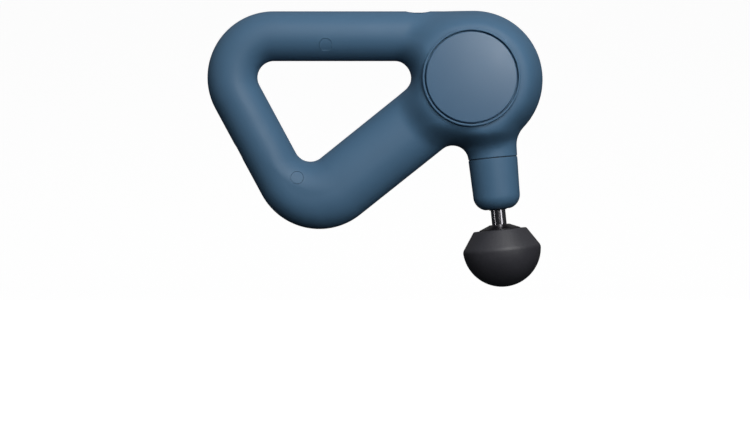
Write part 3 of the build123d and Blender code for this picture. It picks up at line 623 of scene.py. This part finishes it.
def add_button_well(shell):
    """Round hole for the power button, wider inside for the button's flange."""
    hole = BUTTON_RADIUS + WELL_GAP
    seat = BUTTON_FLANGE + SEAT_GAP
    ledge = FLANGE_HIGH + SEAT_LIFT
    cutter = turned("hole", rounded_profile([
        (0, WELL_FLOOR, 0), (seat, WELL_FLOOR, 0), (seat, ledge, 0), (hole, ledge, 0),
        (hole, TOP + ABOVE_TOP, 0), (0, TOP + ABOVE_TOP, 0),
    ], False), np.array([BUTTON_X, 0, 0]), UP, segments=96)
    combine(shell, cutter, "DIFFERENCE")


def on_the_skin(points, slopes):
    """Which points lie on the casing's outer surface, and the lengths of their slopes."""
    length = np.linalg.norm(slopes, axis=1)
    reach = SKIN_TOLERANCE * np.maximum(length, TINY)
    return (np.abs(casing_value(points)) < reach) & (length > TINY), length


def shell_normals(shell):
    """Gives the smooth skin of a shell its exact normals and leaves the cut edges crisp."""
    smooth_shade(shell)
    mesh = shell.data
    count = len(mesh.vertices)
    co = np.zeros(count * 3, np.float32)
    mesh.vertices.foreach_get("co", co)
    points = co.reshape(-1, 3).astype(float) / MM
    exact = gradient(casing_value, points)
    on_skin, length = on_the_skin(points, exact)
    exact = exact / np.maximum(length, TINY)[:, None]
    loops = len(mesh.loops)
    corner = np.zeros(loops, np.int32)
    mesh.loops.foreach_get("vertex_index", corner)
    normals = np.zeros(loops * 3, np.float32)
    mesh.corner_normals.foreach_get("vector", normals)
    normals = normals.reshape(-1, 3).astype(float)
    starts = np.zeros(len(mesh.polygons), np.int32)
    totals = np.zeros(len(mesh.polygons), np.int32)
    mesh.polygons.foreach_get("loop_start", starts)
    mesh.polygons.foreach_get("loop_total", totals)
    facing = np.zeros(len(mesh.polygons) * 3, np.float32)
    mesh.polygons.foreach_get("normal", facing)
    facing = np.repeat(facing.reshape(-1, 3), totals, axis=0)
    order = np.repeat(starts, totals) + np.concatenate([np.arange(t) for t in totals])
    per_loop = np.zeros((loops, 3))
    per_loop[order] = facing
    target = exact[corner]
    use = on_skin[corner] & ((per_loop * target).sum(axis=1) > FACING_LIMIT)
    normals[use] = target[use]
    mesh.normals_split_custom_set(normals.tolist())


def round_parting(shell, side):
    """Small rounded edge where the two halves meet, made of two extra rows of points."""
    work = bmesh.new()
    work.from_mesh(shell.data)
    for height in (PARTING_FILLET, PARTING_FILLET * 0.4):
        bmesh.ops.bisect_plane(
            work, geom=work.verts[:] + work.edges[:] + work.faces[:], dist=1e-7,
            plane_co=(0, side * (PARTING + height) * MM, 0), plane_no=LEFT,
        )
    work.verts.ensure_lookup_table()
    points = np.array([v.co for v in work.verts]) / MM
    slopes = gradient(casing_value, points)
    slopes[:, 1] = 0
    on_skin, length = on_the_skin(points, slopes)
    share = np.clip(1 - (np.abs(points[:, 1]) - PARTING) / PARTING_FILLET, 0, 1)
    sink = PARTING_DEPTH * (1 - np.sqrt(np.maximum(1 - share ** 2, 0)))
    for index in np.flatnonzero(on_skin & (share > LEAST_SHARE)):
        move = slopes[index] / length[index] * sink[index]
        work.verts[index].co -= Vector(move * MM)
    work.to_mesh(shell.data)
    work.free()


PORT = next(mount for mount in frame["record"]["mounts"] if mount["name"] == "charging_port")
PORT_MOUTH = np.array(PORT["pos_m"]) / MM
PORT_OUT = unit(np.array(PORT["axis"]))
PORT_WAY = unit(np.array([-PORT_OUT[2], 0.0, PORT_OUT[0]]))
PORT_SLOT = (9.4, 3.6, 12.0)
PORT_FLARE = (12.0, 6.2, 6.0)
PORT_FLARE_CLEAR = 0.5


def add_port_opening(shell):
    """Slot for the charging plug, with a flared mouth."""
    slot = slot_block("slot", PORT_MOUTH, PORT_WAY, LEFT, PORT_SLOT)
    combine(shell, slot, "DIFFERENCE")
    flare_centre = PORT_MOUTH + PORT_OUT * (PORT_FLARE_CLEAR + PORT_FLARE[2] / 2)
    flare = slot_block("flare", flare_centre, PORT_WAY, LEFT, PORT_FLARE)
    combine(shell, flare, "DIFFERENCE")


def plug_sites():
    """Centres of the screw plugs in the X-Z plane, from the CAD node's two separate solids."""
    points = np.array([v.co for v in frame["nodes"]["screw_plugs"].data.vertices]) / MM
    upper = points[:, 2] > points[:, 2].mean()
    return [(points[part].min(0) + points[part].max(0))[[0, 2]] / 2 for part in (upper, ~upper)]


def place(body, rides_on, node, material_slot):
    """A finished piece takes its body, its CAD node and its material slot."""
    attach(body, rides_on)
    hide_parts(node)
    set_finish(body, material_slot)


def add_plug_bores(shell):
    """Round seats for the screw plugs."""
    for x, z in plug_sites():
        bore = turned("bore", rounded_profile([
            (0, PLUG_FLOOR, 0), (PLUG_BORE, PLUG_FLOOR, 0), (PLUG_BORE, OUTSIDE, 0), (0, OUTSIDE, 0),
        ], False), np.array([x, 0, z]), RIGHT, segments=PLUG_SEGMENTS)
        combine(shell, bore, "DIFFERENCE")


def casing_halves():
    """The hollow casing, cut into its right and left halves."""
    whole = casing_surface("casing", 0.0)
    combine(whole, casing_surface("cavity", WALL), "DIFFERENCE")
    trim_nose(whole)
    add_cover_seat(whole, RIGHT)
    add_cover_seat(whole, LEFT)
    add_button_well(whole)
    add_port_opening(whole)
    for name, side in (("right_casing", -1), ("left_casing", 1)):
        half = copy_of(whole, name)
        middle = (0, -side * (OTHER_HALF[1] / 2 - PARTING), 0)
        combine(half, block("other_half", middle, (1, 0, 0), LEFT, OTHER_HALF), "DIFFERENCE")
        if side < 0:
            add_plug_bores(half)
        round_parting(half, side)
        shell_normals(half)
        place(half, "casing", name + "_shell", "soft_touch_blue")
    discard(whole)


# ---------------------------------------------------------------- pieces around the casing

COVER_DOME = 0.9
COVER_BACK = 27.8
COVER_FILLET = 0.65
COVER_RINGS = 24


def side_cover(name, way, node):
    """Round cover: a very shallow dome with a rounded rim."""
    rim = COVER_RADIUS - 0.1
    edge = COVER_FACE - COVER_DOME
    shares = [k / COVER_RINGS for k in range(COVER_RINGS)]
    crown = [(rim * share, COVER_FACE - COVER_DOME * share ** 2, 0) for share in shares]
    profile = crown + [(COVER_RADIUS, edge, COVER_FILLET), (COVER_RADIUS, COVER_BACK, 0), (0, COVER_BACK, 0)]
    body = turned(name, rounded_profile(profile, False), CENTRE, way, segments=FINE_SEGMENTS)
    smooth_shade(body)
    place(body, "casing", node, "cover_blue")


def drive_ring(name, profile, node, material_slot, segments):
    """Closed ring of the casing, turned about the drive axis."""
    body = turned(name, rounded_profile(profile, True), MOTOR, ALONG, closed=True, segments=segments)
    smooth_shade(body)
    place(body, "casing", node, material_slot)


COLLAR_RADIUS = 15.7
COLLAR_TAPER = math.tan(math.radians(1.8))
COLLAR_ARC = 9.0
COLLAR_ARC_START = 74.2
COLLAR_ARC_STEPS = 14
COLLAR_SIDE_STEPS = 6
COLLAR_SIDE_MARGIN = 3.0
COLLAR_RIM_FILLET = 0.45
COLLAR_FOOT_FILLET = 0.35
COLLAR_BORE = 12.9
COLLAR_BORE_ENDS = (52.5, 75.8)
NOSE_BOTTOM = 83.0
SEAL_BORE = 7.1
SEAL_BORE_FILLET = 0.3
SEAL_SHELF = 80.3
SHELF_RADIUS = 10.8
SPIGOT_INNER = 11.5
SPIGOT_OUTER = 12.6
SPIGOT_START = 46.0


def collar_side(distance):
    """Radius of the collar's tapered side at a distance along the drive axis."""
    return COLLAR_RADIUS - (distance - NOSE_SEAM) * COLLAR_TAPER


def nose_collar():
    """Tapered cup around the shaft's guide, with a broad round shoulder at its foot."""
    centre = collar_side(COLLAR_ARC_START) - COLLAR_ARC
    sweep = math.asin((NOSE_BOTTOM - COLLAR_ARC_START) / COLLAR_ARC)
    turns = [sweep * k / COLLAR_ARC_STEPS for k in range(COLLAR_ARC_STEPS)]
    shoulder = [
        (centre + COLLAR_ARC * math.cos(turn), COLLAR_ARC_START + COLLAR_ARC * math.sin(turn), 0)
        for turn in turns
    ]
    foot = (centre + COLLAR_ARC * math.cos(sweep), NOSE_BOTTOM, COLLAR_FOOT_FILLET)
    start, end = NOSE_SEAM + COLLAR_SIDE_MARGIN, COLLAR_ARC_START - COLLAR_SIDE_MARGIN
    side = [(collar_side(height), height, 0) for height in np.linspace(start, end, COLLAR_SIDE_STEPS)]
    outside = [(COLLAR_RADIUS, NOSE_SEAM, COLLAR_RIM_FILLET)] + side + shoulder + [foot]
    inside = [
        (SEAL_BORE, NOSE_BOTTOM, SEAL_BORE_FILLET), (SEAL_BORE, SEAL_SHELF, 0), (SHELF_RADIUS, SEAL_SHELF, 0),
        (COLLAR_BORE, COLLAR_BORE_ENDS[1], 0), (COLLAR_BORE, COLLAR_BORE_ENDS[0], 0),
    ]
    spigot = [(SPIGOT_INNER, NOSE_SEAM, 0), (SPIGOT_INNER, SPIGOT_START, 0), (SPIGOT_OUTER, SPIGOT_START, 0)]
    profile = [(SPIGOT_OUTER, NOSE_SEAM, 0)] + outside + inside + spigot
    drive_ring("nose_cup", profile, "nose_collar", "soft_touch_blue", 200)


GASKET_INNER = 12.65
GASKET_OUTER = 15.35
GASKET_PLAY = 0.02
GASKET_FILLET = 0.1


def seam_ring():
    """Dark gasket that shows as a fine line around the nose."""
    upper = NOSE_SEAM - SEAM_GAP + GASKET_PLAY
    lower = NOSE_SEAM - GASKET_PLAY
    profile = [
        (GASKET_INNER, upper, 0), (GASKET_OUTER, upper, GASKET_FILLET),
        (GASKET_OUTER, lower, GASKET_FILLET), (GASKET_INNER, lower, 0),
    ]
    drive_ring("seam_ring", profile, "collar_gasket", "seam_rubber", 160)


SHAFT_RADIUS = 4.7
LIP_RADIUS = SHAFT_RADIUS + 0.06
SEAL_TOP = 80.6
SEAL_INNER = 5.6
SEAL_OUTER = 7.0
SEAL_SHOULDER = 6.0
LIP_FOOT = 5.3


def wiper_seal():
    """Rubber seal in the nose's foot, with a thin lip just clear of the shaft."""
    profile = [
        (SEAL_INNER, SEAL_TOP, 0), (SEAL_OUTER, SEAL_TOP, 0), (SEAL_OUTER, NOSE_BOTTOM - 0.35, 0.2),
        (SEAL_SHOULDER, NOSE_BOTTOM - 0.15, 0.15), (LIP_FOOT, NOSE_BOTTOM + 0.5, 0.12),
        (LIP_RADIUS, NOSE_BOTTOM + 0.45, 0), (LIP_RADIUS, NOSE_BOTTOM + 0.1, 0.1),
    ]
    drive_ring("wiper_seal", profile, "shaft_wiper_seal", "seam_rubber", 120)


DISH_DEPTH = 0.9
DISH_RADIUS = 35.0
GRIP_EDGE = 15.0
GRIP_FLAT = 1.0
BUTTON_SINK = 0.1
BUTTON_RINGS = 12
BUTTON_RINGS_REACH = 0.94
BUTTON_EDGE_FILLET = 0.4
BUTTON_SKIRT = 1.4
BUTTON_BEND = 0.9
FLANGE_FILLET = 0.2
STEM_RADIUS = 2.0
STEM_FILLET = 0.3


def saddle_height(x, y):
    """Height of the button's top, which follows the grip's round top and dips along it."""
    drop = GRIP_EDGE - np.sqrt(GRIP_EDGE ** 2 - np.maximum(np.abs(y) - GRIP_FLAT, 0) ** 2)
    axis = TOP - BUTTON_SINK - DISH_DEPTH + DISH_RADIUS
    return axis - np.sqrt((DISH_RADIUS + drop) ** 2 - (x - BUTTON_X) ** 2)


def power_button():
    """Round button with a rounded rim and a saddle-shaped top for the thumb."""
    rim = BUTTON_RADIUS
    top = TOP - BUTTON_SINK
    foot = BUTTON_LOW[2]
    rings = [(rim * BUTTON_RINGS_REACH * k / BUTTON_RINGS, top, 0) for k in range(BUTTON_RINGS)]
    profile = rings + [
        (rim, top, BUTTON_EDGE_FILLET), (rim, top - BUTTON_SKIRT, 0), (rim, FLANGE_HIGH, 0),
        (BUTTON_FLANGE, FLANGE_HIGH, FLANGE_FILLET), (BUTTON_FLANGE, FLANGE_LOW, FLANGE_FILLET),
        (STEM_RADIUS, FLANGE_LOW, STEM_FILLET), (STEM_RADIUS, foot, STEM_FILLET), (0, foot, 0),
    ]
    origin = np.array([BUTTON_X, 0, 0])
    body = turned("power_button_cap", rounded_profile(profile, False), origin, UP, segments=120)
    for vertex in body.data.vertices:
        x, y, z = np.array(vertex.co) / MM
        share = np.clip((z - top + BUTTON_SKIRT) / BUTTON_BEND, 0.0, 1.0)
        vertex.co.z += share * (saddle_height(x, y) - top) * MM
    smooth_shade(body)
    place(body, "button", "power_button", "button_plastic")


def screw_plugs():
    """Round plugs whose outer faces follow the handle's surface."""
    skin = casing_surface("skin", PLUG_SINK)
    plugs = []
    low = PLUG_FLOOR + PLUG_LIFT
    for x, z in plug_sites():
        plug = turned("plug", rounded_profile([
            (0, low, 0), (PLUG_RADIUS, low, PLUG_FILLET), (PLUG_RADIUS, PLUG_REACH, 0), (0, PLUG_REACH, 0),
        ], False), np.array([x, 0, z]), RIGHT, segments=PLUG_SEGMENTS)
        plugs.append(combine(plug, skin, "INTERSECT", keep_tool=True))
    discard(skin)
    body = join("casing_plugs", plugs)
    smooth_shade(body)
    place(body, "casing", "screw_plugs", "soft_touch_blue")


def join(name, bodies):
    """One mesh object made of several."""
    work = bmesh.new()
    for body in bodies:
        work.from_mesh(body.data)
    mesh = bpy.data.meshes.new(name)
    work.to_mesh(mesh)
    work.free()
    for body in bodies:
        discard(body)
    whole = bpy.data.objects.new(name, mesh)
    bpy.context.scene.collection.objects.link(whole)
    return whole


HEAD_TOP = 96.1
EQUATOR = 107.8
BALL_RADIUS = 25.0
CORE_TOP = 92.8
CORE_NECK = 6.2
CORE_RADIUS = 9.2
CORE_BOTTOM = 116.0
SOCKET_MOUTH = 4.95
SOCKET_RADIUS = 4.78
SOCKET_FLOOR = 113.5
CONE_BASE = 95.7
CONE_RADIUS = 13.2
FOAM_RIM = 16.9
FOAM_GAP = 0.1
BALL_STEP = 4.5
BALL_START = 9.0


def head_core():
    """Glossy conical collar and the socket that the shaft pushes into."""
    shelf = HEAD_TOP + 0.5
    profile = [
        (0, CORE_BOTTOM, 0), (CORE_RADIUS, CORE_BOTTOM, 0.4), (CORE_RADIUS, shelf, 0.3),
        (CONE_RADIUS, shelf, 0), (CONE_RADIUS, CONE_BASE, 0.35), (CORE_NECK, CORE_TOP, 0.5),
        (SOCKET_MOUTH, CORE_TOP, 0.25), (SOCKET_RADIUS, CORE_TOP + 0.5, 0),
        (SOCKET_RADIUS, SOCKET_FLOOR, 0), (0, SOCKET_FLOOR, 0),
    ]
    body = turned("head_core_socket", rounded_profile(profile, False), MOTOR, ALONG, segments=180)
    smooth_shade(body)
    place(body, "head", "head_core", "core_plastic")


def massage_head():
    """Foam head: a short flared cone over a hemisphere, with a soft edge between the two."""
    turns = np.radians(np.arange(BALL_START, 90, BALL_STEP))
    ball = [(BALL_RADIUS * math.cos(turn), EQUATOR + BALL_RADIUS * math.sin(turn), 0) for turn in turns]
    bore = CORE_RADIUS + FOAM_GAP
    floor = CORE_BOTTOM + FOAM_GAP
    mouth = CONE_RADIUS + 0.15
    shelf = HEAD_TOP + 0.6
    profile = [
        (0, floor, 0), (bore, floor, 0), (bore, shelf, 0), (mouth, shelf, 0), (mouth, HEAD_TOP, 0.25),
        (FOAM_RIM, HEAD_TOP, 1.5), (BALL_RADIUS + 0.1, EQUATOR + 0.6, 4.2),
    ] + ball + [(0, EQUATOR + BALL_RADIUS, 0)]
    body = turned("foam_head", rounded_profile(profile, False), MOTOR, ALONG, segments=FINE_SEGMENTS)
    smooth_shade(body)
    place(body, "head", "massage_head", "head_foam")


# ---------------------------------------------------------------- materials

def new_material(name):
    material = bpy.data.materials.new(name)
    material.use_nodes = True
    nodes = material.node_tree.nodes
    return material, nodes, material.node_tree.links, nodes["Principled BSDF"]


def noise(nodes, links, where, scale, detail=3.0, roughness=0.55):
    texture = nodes.new("ShaderNodeTexNoise")
    texture.inputs["Scale"].default_value = scale
    texture.inputs["Detail"].default_value = detail
    texture.inputs["Roughness"].default_value = roughness
    links.new(where, texture.inputs["Vector"])
    return texture.outputs["Fac"]


def remap(nodes, links, value, low, high, to_low, to_high):
    node = nodes.new("ShaderNodeMapRange")
    node.inputs["From Min"].default_value = low
    node.inputs["From Max"].default_value = high
    node.inputs["To Min"].default_value = to_low
    node.inputs["To Max"].default_value = to_high
    links.new(value, node.inputs["Value"])
    return node.outputs["Result"]


def scaled_colour(nodes, links, colour, factor):
    """A colour multiplied by a varying factor."""
    node = nodes.new("ShaderNodeVectorMath")
    node.operation = "SCALE"
    node.inputs[0].default_value = colour
    links.new(factor, node.inputs["Scale"])
    return node.outputs["Vector"]


def multiply(nodes, links, first, second):
    node = nodes.new("ShaderNodeMath")
    node.operation = "MULTIPLY"
    links.new(first, node.inputs[0])
    links.new(second, node.inputs[1])
    return node.outputs["Value"]


def bumped(nodes, links, shader, height, distance, strength=1.0):
    bump = nodes.new("ShaderNodeBump")
    bump.inputs["Strength"].default_value = strength
    bump.inputs["Distance"].default_value = distance
    links.new(height, bump.inputs["Height"])
    links.new(bump.outputs["Normal"], shader.inputs["Normal"])


def grained(name, colour, rough, spread=0.05, mottle=0.05, grain=1800.0, depth=0.00002, metal=0.0,
            coat=0.0, wear=0.0, stretch=None, specular=0.5):
    """Surface with a fine grain, slow colour variation, uneven gloss and, if asked, worn edges."""
    material, nodes, links, shader = new_material(name)
    where = nodes.new("ShaderNodeTexCoord").outputs["Object"]
    fine_place = where
    if stretch:
        mapping = nodes.new("ShaderNodeMapping")
        mapping.inputs["Scale"].default_value = stretch
        links.new(where, mapping.inputs["Vector"])
        fine_place = mapping.outputs["Vector"]
    slow = noise(nodes, links, where, 26.0, 2.0)
    fine = noise(nodes, links, fine_place, grain)
    tone = remap(nodes, links, slow, 0.3, 0.7, 1 - mottle, 1 + mottle)
    speckle = remap(nodes, links, fine, 0.3, 0.7, 1 - mottle * 0.6, 1 + mottle * 0.6)
    tone = multiply(nodes, links, tone, speckle)
    if wear:
        point = nodes.new("ShaderNodeNewGeometry").outputs["Pointiness"]
        edge = remap(nodes, links, point, 0.5, 0.6, 1.0, 1.0 + wear)
        tone = multiply(nodes, links, tone, edge)
    links.new(scaled_colour(nodes, links, colour, tone), shader.inputs["Base Color"])
    patchy = noise(nodes, links, where, 90.0, 4.0)
    roughness = remap(nodes, links, patchy, 0.3, 0.7, rough - spread, rough + spread)
    links.new(roughness, shader.inputs["Roughness"])
    shader.inputs["Metallic"].default_value = metal
    shader.inputs["Specular IOR Level"].default_value = specular
    shader.inputs["Coat Weight"].default_value = coat
    shader.inputs["Coat Roughness"].default_value = 0.08
    bumped(nodes, links, shader, fine, depth)
    return material


FOAM_COLOUR = (0.031, 0.031, 0.038)


def foam_material(name):
    """Dark closed-cell foam skin: small cells under a satin surface."""
    material, nodes, links, shader = new_material(name)
    where = nodes.new("ShaderNodeTexCoord").outputs["Object"]
    cells = nodes.new("ShaderNodeTexVoronoi")
    cells.inputs["Scale"].default_value = 1500.0
    links.new(where, cells.inputs["Vector"])
    slow = noise(nodes, links, where, 40.0)
    tone = remap(nodes, links, slow, 0.3, 0.7, 0.9, 1.1)
    pores = remap(nodes, links, cells.outputs["Distance"], 0.0, 0.7, 0.85, 1.08)
    shade = multiply(nodes, links, tone, pores)
    links.new(scaled_colour(nodes, links, FOAM_COLOUR, shade), shader.inputs["Base Color"])
    links.new(remap(nodes, links, slow, 0.3, 0.7, 0.46, 0.56), shader.inputs["Roughness"])
    shader.inputs["Specular IOR Level"].default_value = 0.6
    bumped(nodes, links, shader, cells.outputs["Distance"], 0.00006, 0.6)
    return material


def circuit_material(name):
    """Green solder mask with paler copper tracks under it."""
    material, nodes, links, shader = new_material(name)
    where = nodes.new("ShaderNodeTexCoord").outputs["Object"]
    tracks = nodes.new("ShaderNodeTexBrick")
    tracks.inputs["Scale"].default_value = 320.0
    tracks.inputs["Mortar Size"].default_value = 0.06
    tracks.inputs["Color1"].default_value = (0.012, 0.10, 0.045, 1)
    tracks.inputs["Color2"].default_value = (0.014, 0.115, 0.05, 1)
    tracks.inputs["Mortar"].default_value = (0.03, 0.20, 0.09, 1)
    links.new(where, tracks.inputs["Vector"])
    links.new(tracks.outputs["Color"], shader.inputs["Base Color"])
    slow = noise(nodes, links, where, 120.0)
    links.new(remap(nodes, links, slow, 0.3, 0.7, 0.22, 0.34), shader.inputs["Roughness"])
    bumped(nodes, links, shader, tracks.outputs["Fac"], 0.00004)
    return material


BLUE = (0.062, 0.136, 0.226)
COVER_BLUE = (0.062, 0.132, 0.222)
LOOKS = {
    "soft_touch_blue": dict(colour=BLUE, rough=0.50, spread=0.04, mottle=0.03, grain=2200, wear=0.2,
                            specular=0.28),
    "cover_blue": dict(colour=COVER_BLUE, rough=0.35, spread=0.02, mottle=0.02, grain=2600, depth=0.000008,
                       wear=0.15, specular=0.42),
    "button_plastic": dict(colour=BLUE, rough=0.45, spread=0.04, mottle=0.03, grain=2400, depth=0.000015,
                           wear=0.2, specular=0.3),
    "seam_rubber": dict(colour=(0.014, 0.02, 0.027), rough=0.7, mottle=0.08, grain=1500, depth=0.00003),
    "adhesive": dict(colour=(0.55, 0.55, 0.5), rough=0.6, spread=0.1, mottle=0.06, grain=900, depth=0.00004),
    "polished_steel": dict(colour=(0.44, 0.43, 0.46), rough=0.16, spread=0.03, mottle=0.02, grain=900,
                           depth=0.000004, metal=1.0, stretch=(0.05, 0.05, 3.0)),
    "zinc_steel": dict(colour=(0.55, 0.55, 0.54), rough=0.32, spread=0.06, mottle=0.06, grain=1200,
                       depth=0.00001, metal=1.0),
    "bearing_steel": dict(colour=(0.60, 0.60, 0.61), rough=0.20, mottle=0.04, grain=1600,
                          depth=0.000006, metal=1.0, stretch=(1, 12, 1)),
    "frame_aluminium": dict(colour=(0.62, 0.62, 0.63), rough=0.42, spread=0.08, mottle=0.08, grain=700,
                            depth=0.00004, metal=1.0),
    "rod_plastic": dict(colour=(0.016, 0.016, 0.018), rough=0.5, spread=0.06, mottle=0.1, grain=1300,
                        depth=0.00003),
    "bushing_bronze": dict(colour=(0.45, 0.27, 0.10), rough=0.38, spread=0.08, mottle=0.12, grain=1500,
                           metal=1.0),
    "grommet_rubber": dict(colour=(0.012, 0.012, 0.012), rough=0.75, mottle=0.1, grain=1400, depth=0.00003),
    "core_plastic": dict(colour=(0.006, 0.0055, 0.008), rough=0.30, spread=0.03, grain=800, depth=0.000003,
                         specular=0.25),
    "stator_iron": dict(colour=(0.20, 0.20, 0.21), rough=0.45, spread=0.06, mottle=0.06, depth=0.00003,
                        metal=1.0, stretch=(0.2, 6, 0.2)),
    "copper": dict(colour=(0.55, 0.20, 0.07), rough=0.30, spread=0.06, mottle=0.08, grain=900, depth=0.00008,
                   metal=1.0, stretch=(0.3, 5, 0.3)),
    "magnet": dict(colour=(0.36, 0.36, 0.38), rough=0.28, grain=1400, depth=0.00001, metal=1.0),
    "bell_steel": dict(colour=(0.03, 0.03, 0.033), rough=0.35, mottle=0.08, grain=1500, depth=0.00001,
                       metal=0.6),
    "chip_black": dict(colour=(0.012, 0.012, 0.013), rough=0.55, mottle=0.1),
    "switch_black": dict(colour=(0.02, 0.02, 0.02), rough=0.45, mottle=0.08, grain=1500),
    "cell_wrap": dict(colour=(0.02, 0.10, 0.26), rough=0.25, mottle=0.06, grain=300, depth=0.00003, coat=0.3),
    "holder_plastic": dict(colour=(0.02, 0.02, 0.021), rough=0.5, mottle=0.08, grain=1300, depth=0.00003),
    "nickel": dict(colour=(0.55, 0.53, 0.50), rough=0.24, grain=1300, depth=0.00001, metal=1.0),
    "wire_red": dict(colour=(0.36, 0.012, 0.010), rough=0.42, grain=1500, depth=0.00001),
    "wire_grey": dict(colour=(0.05, 0.05, 0.055), rough=0.42, grain=1500, depth=0.00001),
    "wire_white": dict(colour=(0.60, 0.60, 0.57), rough=0.42, mottle=0.04, grain=1500, depth=0.00001),
}


def build_materials():
    """One material for each slot of the record."""
    materials = {name: grained(name, **look) for name, look in LOOKS.items()}
    materials["head_foam"] = foam_material("head_foam")
    materials["board_green"] = circuit_material("board_green")
    return materials


def paint(materials):
    """Every piece and every CAD node takes the material of its slot."""
    slots = {part["node"]: part["material_slot"] for part in frame["record"]["subparts"]}
    for node, body in frame["nodes"].items():
        body.data.materials.clear()
        body.data.materials.append(materials[slots[node]])
    for body in bpy.context.scene.objects:
        if body.type == "MESH" and "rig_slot" in body:
            body.data.materials.clear()
            body.data.materials.append(materials[body["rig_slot"]])


# ---------------------------------------------------------------- stage, light and camera

FLOOR_HEIGHT = -0.190
FLOOR_FRONT = -2.5
FLOOR_BACK = 1.6
STAGE_CURVE = 0.6
STAGE_HEIGHT = 3.5
STAGE_SIDE = 5.0
STAGE_GLOW = 0.91
HORIZON = (0.06, 0.066, 0.075, 1)
OVERHEAD = (0.9, 0.9, 0.9, 1)
SKY_STRENGTH = 0.35
AIM = (-0.06, 0.0, -0.02)
SENSOR_WIDTH = 36.0
VIEW_DISTANCE = 1.4
VIEW_CENTRE = (-0.0605, -0.0895)
FRAME_WIDTH = 0.480


def pale_stage():
    """Floor that curves up into a backdrop, shown to the camera but not lighting the object."""
    path = [(FLOOR_FRONT, 0.0), (FLOOR_BACK, 0.0)]
    for turn in np.linspace(0.1, math.pi / 2, 16):
        path.append((FLOOR_BACK + STAGE_CURVE * math.sin(turn), STAGE_CURVE * (1 - math.cos(turn))))
    path.append((FLOOR_BACK + STAGE_CURVE, STAGE_HEIGHT))
    points = []
    for y, z in path:
        points += [(-STAGE_SIDE, y, FLOOR_HEIGHT + z), (STAGE_SIDE, y, FLOOR_HEIGHT + z)]
    faces = [(2 * k, 2 * k + 1, 2 * k + 3, 2 * k + 2) for k in range(len(path) - 1)]
    mesh = bpy.data.meshes.new("studio_floor")
    mesh.from_pydata(points, [], faces)
    mesh.shade_smooth()
    floor = bpy.data.objects.new("studio_floor", mesh)
    bpy.context.scene.collection.objects.link(floor)
    material, _, _, shader = new_material("studio_white")
    shader.inputs["Base Color"].default_value = (0.25, 0.25, 0.25, 1)
    shader.inputs["Roughness"].default_value = 0.9
    shader.inputs["Emission Color"].default_value = (1, 1, 1, 1)
    shader.inputs["Emission Strength"].default_value = STAGE_GLOW
    mesh.materials.append(material)
    floor.visible_diffuse = False
    floor.visible_glossy = False


def studio_world():
    """Soft light that comes mostly from above and fades below the horizon; the camera sees white."""
    world = bpy.data.worlds.new("studio")
    bpy.context.scene.world = world
    world.use_nodes = True
    nodes, links = world.node_tree.nodes, world.node_tree.links
    nodes.clear()
    direction = nodes.new("ShaderNodeSeparateXYZ")
    links.new(nodes.new("ShaderNodeTexCoord").outputs["Generated"], direction.inputs["Vector"])
    ramp = nodes.new("ShaderNodeValToRGB")
    ramp.color_ramp.elements[0].position = 0.50
    ramp.color_ramp.elements[0].color = HORIZON
    ramp.color_ramp.elements[1].position = 0.95
    ramp.color_ramp.elements[1].color = OVERHEAD
    links.new(remap(nodes, links, direction.outputs["Z"], -1, 1, 0, 1), ramp.inputs["Fac"])
    light = nodes.new("ShaderNodeBackground")
    light.inputs["Strength"].default_value = SKY_STRENGTH
    links.new(ramp.outputs["Color"], light.inputs["Color"])
    plain = nodes.new("ShaderNodeBackground")
    plain.inputs["Color"].default_value = (1, 1, 1, 1)
    mix = nodes.new("ShaderNodeMixShader")
    links.new(nodes.new("ShaderNodeLightPath").outputs["Is Camera Ray"], mix.inputs["Fac"])
    links.new(light.outputs["Background"], mix.inputs[1])
    links.new(plain.outputs["Background"], mix.inputs[2])
    links.new(mix.outputs["Shader"], nodes.new("ShaderNodeOutputWorld").inputs["Surface"])


def soft_box(name, place_at, size, power, shine=True):
    """Rectangular studio light aimed at the object, in metres and watts."""
    lamp = bpy.data.lights.new(name, "AREA")
    lamp.shape = "RECTANGLE"
    lamp.size, lamp.size_y = size
    lamp.energy = power
    body = bpy.data.objects.new(name, lamp)
    body.visible_camera = False
    body.visible_glossy = shine
    body.location = place_at
    body.rotation_euler = (Vector(AIM) - Vector(place_at)).to_track_quat("-Z", "Y").to_euler()
    bpy.context.scene.collection.objects.link(body)


def studio_lights():
    soft_box("key_light", (0.26, -0.86, 0.76), (0.5, 0.4), 6.9)
    soft_box("cover_light", (0.26, -1.20, 0.28), (0.26, 0.26), 5.2)
    soft_box("front_light", (-0.45, -1.1, 0.75), (0.9, 0.7), 1.6)
    soft_box("right_light", (0.72, -0.75, 0.10), (0.30, 0.8), 1.7)
    soft_box("rear_light", (-0.06, 1.30, 0.10), (0.9, 0.5), 6.0, shine=False)
    soft_box("left_strip", (-0.97, -0.42, 0.0), (0.05, 0.6), 0.4)


def camera():
    lens = bpy.data.cameras.new("camera")
    lens.sensor_width = SENSOR_WIDTH
    lens.lens = SENSOR_WIDTH * VIEW_DISTANCE / FRAME_WIDTH
    eye = bpy.data.objects.new("camera", lens)
    eye.location = (VIEW_CENTRE[0], -VIEW_DISTANCE, VIEW_CENTRE[1])
    eye.rotation_euler = (math.pi / 2, 0, 0)
    bpy.context.scene.collection.objects.link(eye)
    bpy.context.scene.camera = eye
    bpy.context.scene.view_settings.view_transform = "Standard"


# ---------------------------------------------------------------- build

casing_halves()
side_cover("right_cover", RIGHT, "right_side_cover")
side_cover("left_cover", LEFT, "left_side_cover")
nose_collar()
seam_ring()
wiper_seal()
power_button()
screw_plugs()
head_core()
massage_head()
paint(build_materials())
pale_stage()
studio_world()
studio_lights()
camera()
